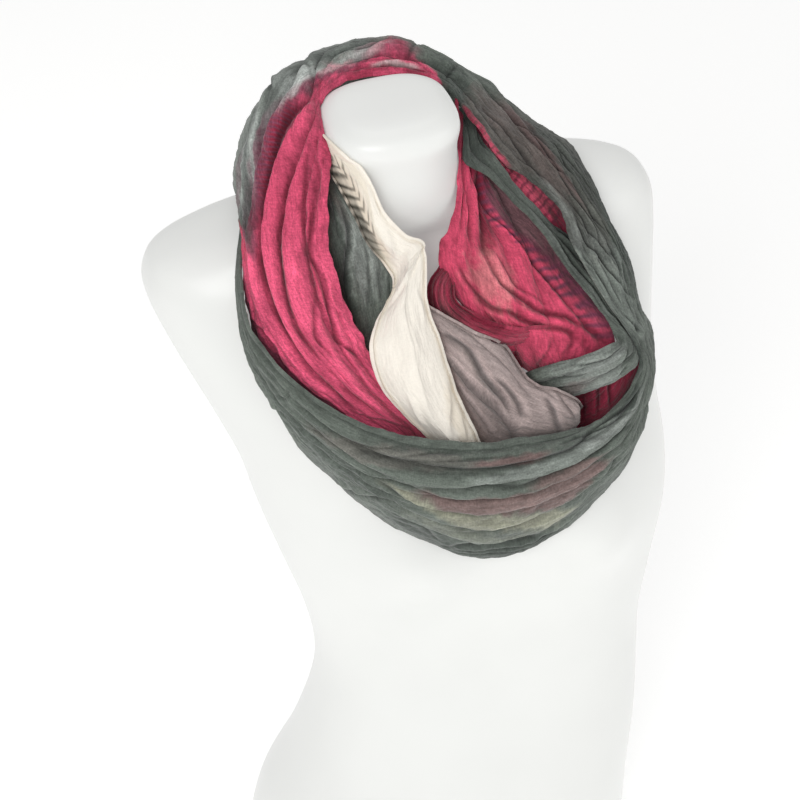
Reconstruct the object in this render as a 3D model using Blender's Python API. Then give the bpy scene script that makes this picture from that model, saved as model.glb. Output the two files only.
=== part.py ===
"""An infinity scarf wound twice round the neck of a limbless dress form.

Millimetres in the tables, metres in the scene. +Z is up, the form faces -Y, and the origin is in its
flat base, under the middle of the neck. Left and right are as seen from the front, so right is +X.

The scarf is one long loop of gauze. Its first turn is the hood: it starts inside the cowl at the front
left, climbs the left of the neck, stands round the nape, comes down over the right shoulder and hangs
over the chest as the front drape. Its second turn goes under the hood round the nape, runs down the right of
the neck as a narrow strand and crosses the cowl. The rest of the loop is gathered inside the cowl as the
crimson, taupe, white and green stretches.

Each stretch is a wall of cloth. A section of it is the arc through three points: its inner edge beside
the neck, its ridge and its outer edge. Folds run along the stretch, between valley lines.
"""

import math

import bpy
import numpy as np
from mathutils import Vector
from mathutils.bvhtree import BVHTree

MM = 0.001
WALL = 1.6              # thickness of the gathered cloth
SEAM = 0.4              # gap between neighbouring pieces
CLEAR = WALL / 2 + 0.8  # from the form's skin to the middle of a wall that lies on it
FORM_SEGMENTS = 40
FORM_RING_STEP = 36.0   # between rings on the trunk
NECK_RING_STEP = 9.0    # between rings on the shoulders and neck
SHOULDER_START = 590.0  # height from which the rings lie closer
FORM_PLASTIC = (0.86, 0.87, 0.86)
FORM_ROUGHNESS = 0.35
CLOTH_ROUGHNESS = 0.9

# The dress form, ring by ring: height, sideways shift of the ring's middle, half its width, how far it
# reaches forward and back, and how square it is (2 is an ellipse).
FORM_RINGS = [
    # height shift half_width front  back  squareness
    (0,     0,    150,  -104,   124,  2.3),
    (60,    3,    157,  -106,   132,  2.3),
    (120,   12,   154,  -102,   122,  2.3),
    (180,   30,   143,   -94,   104,  2.3),
    (240,   42,   134,   -86,    90,  2.3),
    (285,   46,   133,   -84,    86,  2.3),
    (340,   47,   142,   -92,    92,  2.3),
    (400,   44,   155,  -104,   100,  2.3),
    (450,   38,   162,  -110,   106,  2.3),
    (500,   30,   165,  -105,   110,  2.4),
    (550,   21,   174,   -90,   112,  2.5),
    (600,   14,   187,   -68,   110,  2.6),
    (640,   10,   196,   -48,   104,  2.6),
    (660,   10,   194,   -38,    97,  2.6),
    (672,    9,   184,   -31,    90,  2.5),
    (681,    7,   158,   -29,    83,  2.4),
    (688,    5,   118,   -33,    76,  2.3),
    (695,    3,    82,   -38,    69,  2.2),
    (705,    1,    59,   -43,    61,  2.1),
    (720,    0,    50,   -48,    52,  2.1),
    (750,    0,    48,   -52,    42,  2.2),
    (770,    0,    49,   -55,    37,  2.3),
    (780,    0,    46,   -52,    34,  2.3),
    (785,    0,    38,   -44,    27,  2.2),
]
BUST = {"height": 430, "apart": 76, "depth": 24, "tall": 46, "wide": 44}
BUST_FADE = 2.0         # how quickly the mounds grow from the form's sides towards its front

# The two turns of the loop, section by section, from the hidden start inside the cowl to the hidden end
# of the crossing strand. Each section is its inner edge, its ridge and its outer edge.
LOOP = [
    # inner                ridge               outer
    ((-8, -101, 512),     (-26, -103, 510),   (-44, -100, 513)),      # 0 tucked on the chest
    ((-11, -118, 563),    (-29, -126, 568),   (-47, -122, 566)),
    ((-32, -116, 604),    (-63, -126, 612),   (-88, -116, 607)),
    ((-49, -104, 637),    (-90, -112, 644),   (-117, -84, 628)),
    ((-58, -80, 670),     (-106, -80, 676),   (-118, -54, 655)),
    ((-62, -55, 702),     (-107, -42, 705),   (-114, -24, 697)),      # 5 left side of the neck
    ((-57, -34, 745),     (-98, -5, 735),     (-111, 12, 708)),
    ((-53, -12, 772),     (-92, 22, 763),     (-105, 48, 705)),
    ((-42, 22, 781),      (-69, 50, 784),     (-89, 88, 707)),
    ((-20, 44, 781),      (-31, 76, 787),     (-48, 120, 704)),
    ((16, 44, 774),       (25, 88, 776),      (30, 126, 692)),        # 10 nape
    ((50, 38, 761),       (59, 76, 763),      (77, 112, 693)),
    ((67, 24, 750),       (87, 62, 743),      (114, 92, 691)),
    ((76, 10, 741),       (104, 50, 720),     (137, 78, 680)),
    ((96, -14, 714),      (119, 2, 713),      (145, 22, 693)),
    ((111, -47, 696),     (136, -44, 688),    (152, -32, 673)),       # 15 over the right shoulder
    ((115, -78, 676),     (149, -66, 653),    (166, -38, 627)),
    ((132, -98, 639),     (152, -89, 623),    (171, -52, 591)),
    ((153, -106, 596),    (164, -96, 580),    (178, -68, 558)),       # 18 pinched corner
    ((146, -116, 575),    (155, -112, 555),   (163, -82, 520)),
    ((113, -134, 560),    (126, -144, 539),   (139, -100, 486)),      # 20 front drape
    ((71, -147, 568),     (75, -166, 536),    (85, -123, 460)),
    ((16, -154, 579),     (10, -174, 540),    (25, -122, 447)),
    ((-31, -152, 595),    (-47, -167, 562),   (-47, -114, 494)),
    ((-74, -145, 617),    (-91, -142, 592),   (-91, -88, 541)),
    ((-110, -125, 646),   (-120, -114, 625),  (-117, -66, 591)),      # 25
    ((-130, -88, 671),    (-133, -72, 650),   (-126, -48, 625)),
    ((-124, -42, 690),    (-129, -37, 682),   (-126, -31, 671)),
    ((-107, 20, 699),     (-112, 30, 697),    (-116, 42, 695)),       # 28 under the hood
    ((-84, 46, 698),      (-92, 64, 691),     (-96, 88, 672)),
    ((-44, 66, 706),      (-52, 84, 690),     (-56, 103, 652)),       # 30 second turn at the nape
    ((4, 72, 708),        (4, 92, 690),       (4, 108, 648)),
    ((46, 62, 710),       (54, 80, 695),      (66, 97, 662)),
    ((58, 44, 722),       (71, 53, 716),      (86, 60, 702)),
    ((60, 10, 730),       (64, 18, 734),      (69, 24, 737)),         # 34 right of the neck
    ((53, -16, 730),      (64, -6, 731),      (73, 2, 728)),
    ((65, -34, 713),      (76, -24, 713),     (86, -14, 706)),
    ((85, -62, 694),      (95, -53, 693),     (104, -43, 682)),
    ((100, -80, 667),     (113, -71, 663),    (128, -57, 656)),
    ((118, -97, 634),     (129, -91, 633),    (142, -78, 628)),
    ((136, -106, 612),    (142, -103, 610),   (148, -95, 605)),       # 40 turns in below the hood
    ((127, -119, 615),    (129, -122, 605),   (134, -116, 591)),
    ((102, -121, 611),    (105, -127, 599),   (113, -119, 580)),
    ((81, -114, 605),     (85, -119, 592),    (93, -114, 573)),
    ((66, -106, 595),     (71, -110, 584),    (78, -106, 568)),
]

# The stretches gathered inside the cowl, section by section.
RIGHT_CRIMSON = [
    ((53, 22, 744),       (54, 18, 735),      (56, 14, 725)),
    ((44, -10, 730),      (51, -6, 722),      (67, 2, 711)),
    ((39, -34, 714),      (56, -32, 702),     (80, -20, 695)),
    ((30, -54, 694),      (64, -60, 678),     (105, -44, 665)),
    ((26, -68, 680),      (68, -88, 656),     (119, -74, 638)),
    ((28, -80, 656),      (70, -102, 632),    (134, -96, 610)),
    ((40, -86, 635),      (72, -106, 614),    (127, -104, 586)),
    ((53, -82, 609),      (80, -96, 590),     (116, -98, 572)),
]
SLIT_CRIMSON = [
    ((75, 22, 734),       (81, 26, 731),      (87, 30, 728)),
    ((69, 9, 724),        (78, 15, 725),      (86, 22, 727)),
    ((80, -4, 706),       (91, 2, 705),       (103, 10, 705)),
    ((93, -26, 690),      (105, -20, 688),    (119, -10, 685)),
    ((105, -48, 670),     (116, -42, 668),    (126, -32, 665)),
]
CRIMSON_GATHERS = [
    ((33, -62, 667),      (26, -64, 676),     (20, -62, 678)),
    ((22, -78, 665),      (12, -82, 672),     (5, -76, 669)),
    ((24, -88, 655),      (13, -90, 655),     (6, -80, 643)),
    ((37, -101, 650),     (27, -104, 643),    (22, -93, 626)),
    ((57, -112, 643),     (52, -114, 632),    (49, -103, 612)),
    ((82, -118, 632),     (78, -119, 622),    (76, -105, 603)),
]
CRIMSON_TUCK = [
    ((144, -108, 592),    (147, -111, 584),   (152, -104, 568)),
    ((126, -110, 583),    (128, -115, 569),   (133, -108, 546)),
    ((114, -104, 572),    (116, -108, 556),   (120, -104, 532)),
    ((101, -90, 562),     (103, -95, 545),    (108, -98, 521)),
    ((86, -79, 556),      (88, -87, 540),     (92, -94, 516)),
]
WHITE = [
    ((-44, 12, 765),      (-48, 12, 755),     (-51, 12, 745)),
    ((-46, -10, 772),     (-50, -12, 763),    (-52, -2, 747)),
    ((-42, -34, 774),     (-46, -33, 763),    (-50, -26, 748)),
    ((-30, -54, 759),     (-36, -55, 748),    (-44, -52, 734)),
    ((-21, -61, 730),     (-29, -64, 720),    (-35, -61, 708)),
    ((-9, -70, 714),      (-16, -74, 705),    (-25, -71, 691)),
    ((3, -78, 706),       (-11, -84, 700),    (-23, -82, 680)),
    ((-2, -98, 673),      (-24, -108, 676),   (-42, -102, 667)),
    ((2, -110, 650),      (-26, -125, 654),   (-51, -116, 651)),
    ((6, -122, 624),      (-25, -136, 632),   (-47, -126, 625)),
    ((13, -130, 595),     (-14, -142, 604),   (-33, -134, 603)),
    ((23, -132, 559),     (5, -140, 566),     (-13, -133, 567)),
    ((24, -101, 520),     (8, -103, 516),     (-6, -101, 519)),
]
TAUPE = [
    ((6, -96, 654),       (1, -102, 645),     (-2, -100, 630)),
    ((27, -107, 644),     (14, -117, 631),    (2, -106, 606)),
    ((47, -115, 628),     (30, -128, 615),    (10, -114, 581)),
    ((64, -122, 602),     (49, -134, 592),    (24, -118, 554)),
    ((86, -128, 591),     (72, -140, 579),    (46, -122, 543)),
    ((101, -125, 572),    (96, -134, 559),    (81, -124, 535)),
    ((96, -98, 540),      (86, -101, 524),    (72, -104, 508)),
]
GREEN_INNER = [
    ((-50, -10, 742),     (-54, -8, 733),     (-59, 0, 720)),
    ((-41, -36, 731),     (-51, -36, 725),    (-63, -28, 712)),
    ((-29, -51, 709),     (-44, -50, 704),    (-61, -40, 691)),
    ((-20, -61, 686),     (-40, -62, 677),    (-62, -54, 666)),
    ((-23, -78, 660),     (-40, -78, 651),    (-58, -70, 636)),
    ((-30, -98, 626),     (-38, -98, 620),    (-53, -90, 605)),
    ((-30, -75, 590),     (-40, -75, 588),    (-50, -73, 588)),
]

# Valley lines between the folds: how far across the stretch each lies, from 0 at the inner edge to 1 at
# the outer edge, at five places along it, and how deep the fold before it stands, in millimetres.
PLACES = 5
HOOD_VALLEYS = [
    # tail left  nape  right corner depth
    (0.12, 0.12, 0.15, 0.14, 0.20, 5.0),
    (0.28, 0.22, 0.28, 0.30, 0.38, 4.0),
    (0.46, 0.50, 0.43, 0.46, 0.54, 6.0),
    (0.66, 0.68, 0.60, 0.63, 0.70, 5.5),
    (0.84, 0.83, 0.79, 0.81, 0.86, 6.0),
    (1.00, 1.00, 1.00, 1.00, 1.00, 5.0),
]
DRAPE_VALLEYS = [
    # corner right front left end   depth
    (0.20, 0.14, 0.10, 0.14, 0.20, 4.0),
    (0.36, 0.26, 0.22, 0.27, 0.38, 4.5),
    (0.50, 0.41, 0.33, 0.38, 0.52, 4.0),
    (0.62, 0.52, 0.47, 0.50, 0.64, 6.0),
    (0.72, 0.62, 0.58, 0.63, 0.74, 4.5),
    (0.82, 0.74, 0.70, 0.74, 0.84, 5.0),
    (0.91, 0.88, 0.84, 0.88, 0.92, 5.0),
    (1.00, 1.00, 1.00, 1.00, 1.00, 4.0),
]


VALLEY_DRIFT = 0.16       # widest drift of an even valley line, in widths of its fold
DRIFT_BY_FOLD = 2.1       # how far the drift's wave turns from one valley line to the next
DRIFT_BY_PLACE = 1.7      # and from one place to the next, in radians


def even_valleys(count, depth):
    """Valley lines at nearly even spacing, which drift a little between the ends of the stretch."""
    rows = []
    for fold in range(1, count + 1):
        middle = fold / count
        free = 0.0 if fold == count else VALLEY_DRIFT / count
        turns = (DRIFT_BY_FOLD * fold + DRIFT_BY_PLACE * place for place in range(1, PLACES - 1))
        rows.append((middle, *(middle + free * math.sin(turn) for turn in turns), middle, depth))
    return rows


# Every piece of cloth: its table, the sections that it starts and ends at, its valley lines, the
# number of quads along it and for each fold across it, and its colour.
CHARCOAL = (0.125, 0.145, 0.135)
CRIMSON = (0.46, 0.045, 0.095)
CREAM = (0.82, 0.79, 0.70)
TAUPE_GREY = (0.29, 0.25, 0.24)
STRETCHES = [
    # name            table            first last valleys               along per_fold colour
    ("hood_left",       LOOP,            0, 9,  HOOD_VALLEYS,          30, 3, CRIMSON),
    ("hood_back",       LOOP,            9, 12, HOOD_VALLEYS,          11, 3, CHARCOAL),
    ("hood_right",      LOOP,            12, 18, HOOD_VALLEYS,         20, 3, CHARCOAL),
    ("front_drape",     LOOP,            18, 28, DRAPE_VALLEYS,        36, 3, CHARCOAL),
    ("under_collar",    LOOP,            28, 33, even_valleys(3, 2.0), 18, 2, CHARCOAL),
    ("right_strand",    LOOP,            33, 40, even_valleys(3, 1.6), 18, 2, CHARCOAL),
    ("cross_strand",    LOOP,            40, 44, even_valleys(3, 2.2), 9, 2, CHARCOAL),
    ("right_crimson",   RIGHT_CRIMSON,   0, 7,  even_valleys(5, 3.0),  15, 2, CRIMSON),
    ("slit_crimson",    SLIT_CRIMSON,    0, 4,  even_valleys(2, 1.5),  10, 2, CRIMSON),
    ("crimson_gathers", CRIMSON_GATHERS, 0, 5,  even_valleys(4, 2.0),  11, 2, CRIMSON),
    ("crimson_tuck",    CRIMSON_TUCK,    0, 4,  even_valleys(2, 1.2),  9, 3, CRIMSON),
    ("white_upper",     WHITE,           0, 6,  even_valleys(3, 2.4),  14, 2, CREAM),
    ("white_lower",     WHITE,           6, 12, even_valleys(3, 2.4),  15, 2, CREAM),
    ("taupe",           TAUPE,           0, 6,  even_valleys(5, 3.0),  14, 2, TAUPE_GREY),
    ("green_inner",     GREEN_INNER,     0, 6,  even_valleys(3, 2.0),  13, 2, CHARCOAL),
]
SLOPE_STEP = 0.05           # how far from a row the slope of the cloth is read, in sections
FOLD_FOOT = 0.4             # share of a fold's depth that lies below the arc of its section
HOOD_FOLDS_SPAN = (0, 18)   # sections of LOOP that HOOD_VALLEYS runs along
NARROW_FOLD = 50.0          # a fold is never deeper than its width squared over this length
FLAT_SEAMS = (28, 33)       # sections of LOOP where the number of folds changes and the cloth is flat
FLATTENS_OVER = 0.7         # how far from such a section the folds reach their depth, in sections


def through(points, at):
    """The smooth curve through rows of numbers, read at section numbers such as 2.5."""
    points = np.asarray(points, float)
    at = np.clip(np.asarray(at, float), 0, len(points) - 1)
    slopes = np.gradient(points, axis=0)
    low = np.minimum(at.astype(int), len(points) - 2)
    t = (at - low)[:, None]
    rise = 3 * t**2 - 2 * t**3
    leaving, arriving = t * (1 - t) ** 2, t**2 * (t - 1)
    curve = points[low] * (1 - rise) + points[low + 1] * rise
    return curve + slopes[low] * leaving + slopes[low + 1] * arriving


def meets_neighbour(table, section):
    """Whether a stretch is joined to the next one of its table at this section."""
    return 0 < section < len(table) - 1


def clear_scene():
    for obj in list(bpy.data.objects):
        bpy.data.objects.remove(obj, do_unlink=True)


def material(name, colour, roughness):
    made = bpy.data.materials.new(name)
    made.use_nodes = True
    shader = made.node_tree.nodes["Principled BSDF"]
    shader.inputs["Base Color"].default_value = (*colour, 1.0)
    shader.inputs["Roughness"].default_value = roughness
    shader.inputs["Metallic"].default_value = 0.0
    return made


def object_of(name, points_mm, faces, look):
    mesh = bpy.data.meshes.new(name)
    mesh.from_pydata([Vector(p) * MM for p in points_mm], [], faces)
    mesh.validate()
    mesh.shade_smooth()
    mesh.materials.append(look)
    obj = bpy.data.objects.new(name, mesh)
    bpy.context.scene.collection.objects.link(obj)
    return obj


def form_ring(height, shift, half_width, front, back, squareness):
    """One ring of the dress form, with the two mounds of the bust on its front."""
    ring = []
    middle, half_depth = (front + back) / 2, (back - front) / 2
    for k in range(FORM_SEGMENTS):
        turn = 2 * math.pi * k / FORM_SEGMENTS
        c, s = math.cos(turn), math.sin(turn)
        x = shift + half_width * math.copysign(abs(c) ** (2 / squareness), c)
        y = middle + half_depth * math.copysign(abs(s) ** (2 / squareness), s)
        if s < 0:
            rise = math.exp(-(((height - BUST["height"]) / BUST["tall"]) ** 2))
            for side in (-1, 1):
                off = (x - shift - side * BUST["apart"]) / BUST["wide"]
                y -= BUST["depth"] * rise * math.exp(-off * off) * min(1.0, -BUST_FADE * s)
        ring.append((x, y, height))
    return ring


def form_heights():
    """Ring heights as section numbers of FORM_RINGS: wide apart on the trunk, close on the shoulders."""
    table = np.array(FORM_RINGS, float)
    numbers = []
    for row in range(len(table) - 1):
        low, high = table[row, 0], table[row + 1, 0]
        step = FORM_RING_STEP if low < SHOULDER_START else NECK_RING_STEP
        count = max(1, round((high - low) / step))
        numbers += [row + k / count for k in range(count)]
    return numbers + [len(table) - 1.0]


def dress_form(look):
    rings = [form_ring(*row) for row in through(FORM_RINGS, form_heights())]
    points = [p for ring in rings for p in ring]
    faces = []
    for r in range(len(rings) - 1):
        for k in range(FORM_SEGMENTS):
            a, b = r * FORM_SEGMENTS + k, r * FORM_SEGMENTS + (k + 1) % FORM_SEGMENTS
            faces.append((a, b, b + FORM_SEGMENTS, a + FORM_SEGMENTS))
    top = (len(rings) - 1) * FORM_SEGMENTS
    faces.append(tuple(reversed(range(FORM_SEGMENTS))))
    faces.append(tuple(range(top, top + FORM_SEGMENTS)))
    return object_of("dress_form", points, faces, look)


def skin_of(obj):
    """The surface of an object in millimetres, for cloth to lie on."""
    points = [v.co / MM for v in obj.data.vertices]
    return BVHTree.FromPolygons(points, [tuple(f.vertices) for f in obj.data.polygons])


def laid_on(skin, point):
    """The point itself, or the nearest one that is CLEAR of the skin."""
    near, normal, _, _ = skin.find_nearest(Vector(point))
    out = (Vector(point) - near).dot(normal)
    return tuple(near + normal * CLEAR) if out < CLEAR else tuple(point)


def valley_rows(valleys, along):
    """The valley lines' places across the stretch, at each fraction along it, with 0 as the first."""
    table = np.array(valleys, float)
    lines = through(table[:, :-1].T, along * (PLACES - 1))
    return np.hstack([np.zeros((len(along), 1)), lines])


def flat_sheet(table, numbers, lines, per_fold):
    """The middle surface of a stretch before folding, rows along it and columns across it."""
    step = np.arange((lines.shape[1] - 1) * per_fold + 1) / per_fold
    fold = np.minimum(step.astype(int), lines.shape[1] - 2)
    v = (lines[:, fold] * (1 - step + fold) + lines[:, fold + 1] * (step - fold))[:, :, None]
    guides = through(np.array(table, float).reshape(len(table), 9), numbers).reshape(-1, 3, 3)
    inner, ridge, outer = (guides[:, None, k, :] for k in range(3))
    return inner * (2 * (v - 0.5) * (v - 1)) + ridge * (4 * v * (1 - v)) + outer * (2 * v * (v - 0.5))


def normals_of(surface, numbers):
    """Normals at the rows of a surface, which is a function of section numbers."""
    along = surface(numbers + SLOPE_STEP) - surface(numbers - SLOPE_STEP)
    normal = np.cross(along, np.gradient(surface(numbers), axis=1))
    return normal / np.maximum(np.linalg.norm(normal, axis=2, keepdims=True), 1e-9)


def folded_sheet(table, numbers, span, valleys, per_fold):
    """The middle surface of a stretch with its folds standing between the valley lines."""
    lines = valley_rows(valleys, (numbers - span[0]) / (span[1] - span[0]))
    flat = flat_sheet(table, numbers, lines, per_fold)
    normals = normals_of(lambda at: flat_sheet(table, at, lines, per_fold), numbers)
    widths = np.linalg.norm(np.diff(flat[:, ::per_fold], axis=1), axis=2)
    depths = np.minimum([row[-1] for row in valleys], widths**2 / NARROW_FOLD)
    if table is LOOP:
        away = np.min([abs(numbers - seam) for seam in FLAT_SEAMS], axis=0)
        depths = depths * np.minimum(1.0, away / FLATTENS_OVER)[:, None]
    step = np.arange(len(valleys) * per_fold + 1) / per_fold
    fold = np.minimum(step.astype(int), len(valleys) - 1)
    height = depths[:, fold] * (np.sin(math.pi * (step - fold)) - FOLD_FOOT)
    return flat + height[:, :, None] * normals


def trimmed(grid, surface, numbers, at_start, at_end):
    """The grid with half a seam taken off the ends that meet a neighbour."""
    grid = grid.copy()
    for on, end, step in ((at_start, 0, SLOPE_STEP), (at_end, -1, -SLOPE_STEP)):
        if on:
            way = surface(numbers[[end]] + step)[0] - grid[end]
            grid[end] += way / np.linalg.norm(way, axis=1, keepdims=True) * SEAM / 2
    return grid


def wall_of(name, grid, normals, look):
    """A closed wall of cloth, half its thickness on each side of the grid."""
    rows, columns = grid.shape[:2]
    half = normals * WALL / 2
    points = np.concatenate([(grid + half).reshape(-1, 3), (grid - half).reshape(-1, 3)])
    back = rows * columns
    at = np.arange(back).reshape(rows, columns)
    faces = []
    for i in range(rows - 1):
        for j in range(columns - 1):
            a, b, c, d = at[i, j], at[i + 1, j], at[i + 1, j + 1], at[i, j + 1]
            faces.append((a, b, c, d))
            faces.append((a + back, d + back, c + back, b + back))
    rim = [*at[0, :], *at[1:, -1], *at[-1, -2::-1], *at[-2:0:-1, 0]]
    for a, b in zip(rim, rim[1:] + rim[:1]):
        faces.append((a, b, b + back, a + back))
    return object_of(name, points, [tuple(int(p) for p in face) for face in faces], look)


def main():
    clear_scene()
    form = dress_form(material("form_plastic", FORM_PLASTIC, FORM_ROUGHNESS))
    skin = skin_of(form)
    for name, table, first, last, valleys, along, per_fold, colour in STRETCHES:
        span = HOOD_FOLDS_SPAN if valleys is HOOD_VALLEYS else (first, last)

        def surface(at):
            grid = folded_sheet(table, at, span, valleys, per_fold)
            return np.array([[laid_on(skin, point) for point in row] for row in grid])

        numbers = np.linspace(first, last, along + 1)
        ends = meets_neighbour(table, first), meets_neighbour(table, last)
        grid = trimmed(surface(numbers), surface, numbers, *ends)
        look = material(name + "_cloth", colour, CLOTH_ROUGHNESS)
        wall_of(name, grid, normals_of(surface, numbers), look)


main()
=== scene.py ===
"""The looks of an infinity scarf wound twice round the neck of a dress form.

Each wall of cloth in the frame is replaced by a fine thin sheet on the same sections, with its folds,
creases and wrinkles, its rolled edges, its dyes and painted shade and highlights. The form is replaced by a
smooth one that glows a little as painted light. Millimetres in the tables, metres in the scene. Left and
right are as seen from the front, so right is +X.

A place on the cloth is a section number of its table and how far across it lies. The tables give that in
hundredths, from 0 at the inner edge beside the neck to 100 at the outer edge, and the functions as a share.
"""

import math
from collections import namedtuple

import bpy
import numpy as np
from mathutils import Matrix, Vector
from mathutils.bvhtree import BVHTree


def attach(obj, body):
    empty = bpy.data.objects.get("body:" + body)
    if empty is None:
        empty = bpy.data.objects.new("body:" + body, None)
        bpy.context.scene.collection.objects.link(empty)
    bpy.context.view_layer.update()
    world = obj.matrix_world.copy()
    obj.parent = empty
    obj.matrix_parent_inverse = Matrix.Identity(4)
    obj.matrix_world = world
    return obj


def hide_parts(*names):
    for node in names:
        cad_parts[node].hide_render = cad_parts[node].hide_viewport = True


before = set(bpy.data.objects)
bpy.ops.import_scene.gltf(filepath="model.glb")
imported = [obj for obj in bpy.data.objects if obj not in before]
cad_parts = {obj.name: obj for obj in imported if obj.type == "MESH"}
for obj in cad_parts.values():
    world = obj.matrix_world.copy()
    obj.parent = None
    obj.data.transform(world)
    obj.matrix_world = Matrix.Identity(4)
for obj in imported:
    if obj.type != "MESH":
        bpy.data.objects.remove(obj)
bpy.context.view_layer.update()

MM = 0.001
STEP_ALONG = 1.5        # spacing of the cloth's points along a stretch
STEP_ACROSS = 1.1       # and across it
FEWEST_ROWS = 8         # quads along the shortest stretch
FEWEST_QUADS = 6        # and across the narrowest fold
CLEAR = 0.9             # from the form's skin to cloth that lies on it
SKIN_REACH = 30         # cloth this far outside the skin isn't tested against it
HEM_RADIUS = 1.1        # radius of a rolled edge
HEM_TURN = 5            # quads round the roll of an edge
HEM_RUN = 1             # quads along the cloth that runs back under itself
HEM_STEP = 2            # columns of the cloth above to one such quad


def tint(red, green, blue):
    """A colour named in display values from 0 to 255, as linear light."""
    shares = np.array((red, green, blue)) / 255
    return tuple(np.where(shares <= 0.04045, shares / 12.92, ((shares + 0.055) / 1.055) ** 2.4))


DYES_AND_PAINTED_LIGHT = {
    "green": tint(92, 99, 92),
    # painted shade: the dark grey-green of shadowed folds and hollows
    "deep": tint(56, 62, 58),
    "crimson": tint(206, 76, 105),
    "cerise": tint(213, 85, 117),
    # painted highlight: crimson where light catches it
    "coral": tint(238, 104, 130),
    # a wine-red dye, also laid on as painted shade in crimson creases, valleys and shadows
    "wine": tint(128, 34, 56),
    "violet": tint(104, 62, 76),
    "rose": tint(124, 93, 92),
    "umber": tint(112, 101, 97),
    "straw": tint(162, 160, 138),
    # thin gauze, painted lighter as light shows through it
    "sheer": tint(188, 193, 189),
    "cream": tint(239, 233, 222),
    "beige": tint(226, 196, 178),
    # laid on the white cloth as painted shade
    "tan": tint(214, 200, 176),
    "taupe": tint(166, 151, 148),
}
# the form's white, set darker to make up for the painted light of its glow
FORM_WHITE = tint(197, 198, 195)
FLOOR_WHITE = tint(252, 252, 251)

# The dress form, ring by ring: its height, how far its middle lies to the side, half its width, how far it
# reaches forward and back, and how square it is (2 is an ellipse).
FORM_RINGS = [
    # height shift half_width front back squareness
    (0, 0, 150, -104, 124, 2.3),
    (60, 3, 157, -106, 132, 2.3),
    (120, 12, 154, -102, 122, 2.3),
    (180, 30, 143, -94, 104, 2.3),
    (240, 42, 134, -86, 90, 2.3),
    (285, 46, 133, -84, 86, 2.3),
    (340, 47, 142, -92, 92, 2.3),
    (400, 44, 155, -104, 100, 2.3),
    (450, 38, 162, -110, 106, 2.3),
    (500, 30, 165, -105, 110, 2.4),
    (550, 21, 174, -90, 112, 2.5),
    (600, 14, 187, -68, 110, 2.6),
    (640, 10, 196, -48, 104, 2.6),
    (660, 10, 194, -38, 97, 2.6),
    (672, 9, 184, -31, 90, 2.5),
    (681, 7, 158, -29, 83, 2.4),
    (688, 5, 118, -33, 76, 2.3),
    (695, 3, 82, -38, 69, 2.2),
    (705, 1, 59, -43, 61, 2.1),
    (720, 0, 50, -48, 52, 2.1),
    (750, 0, 48, -52, 43, 2.2),
    (770, 0, 49, -55, 41, 2.7),
    (780, 0, 46, -52, 38, 2.9),
    (785, 0, 38, -44, 31, 2.8),
]
FORM_SEGMENTS = 192
FORM_RING_STEP = 4.0
BUST = {"height": 430, "apart": 76, "depth": 24, "tall": 46, "wide": 44}
BUST_FADE = 2.0         # how quickly the mounds grow from the form's sides towards its front
SHARP_EDGE = 60         # an edge of the form that turns this many degrees is a sharp one
CAP_RINGS = [
    # share (of the topmost ring's width), rise above it
    (0.93, 0.7),
    (0.8, 1.3),
    (0.5, 1.7),
    (0.15, 1.8),
]

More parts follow.
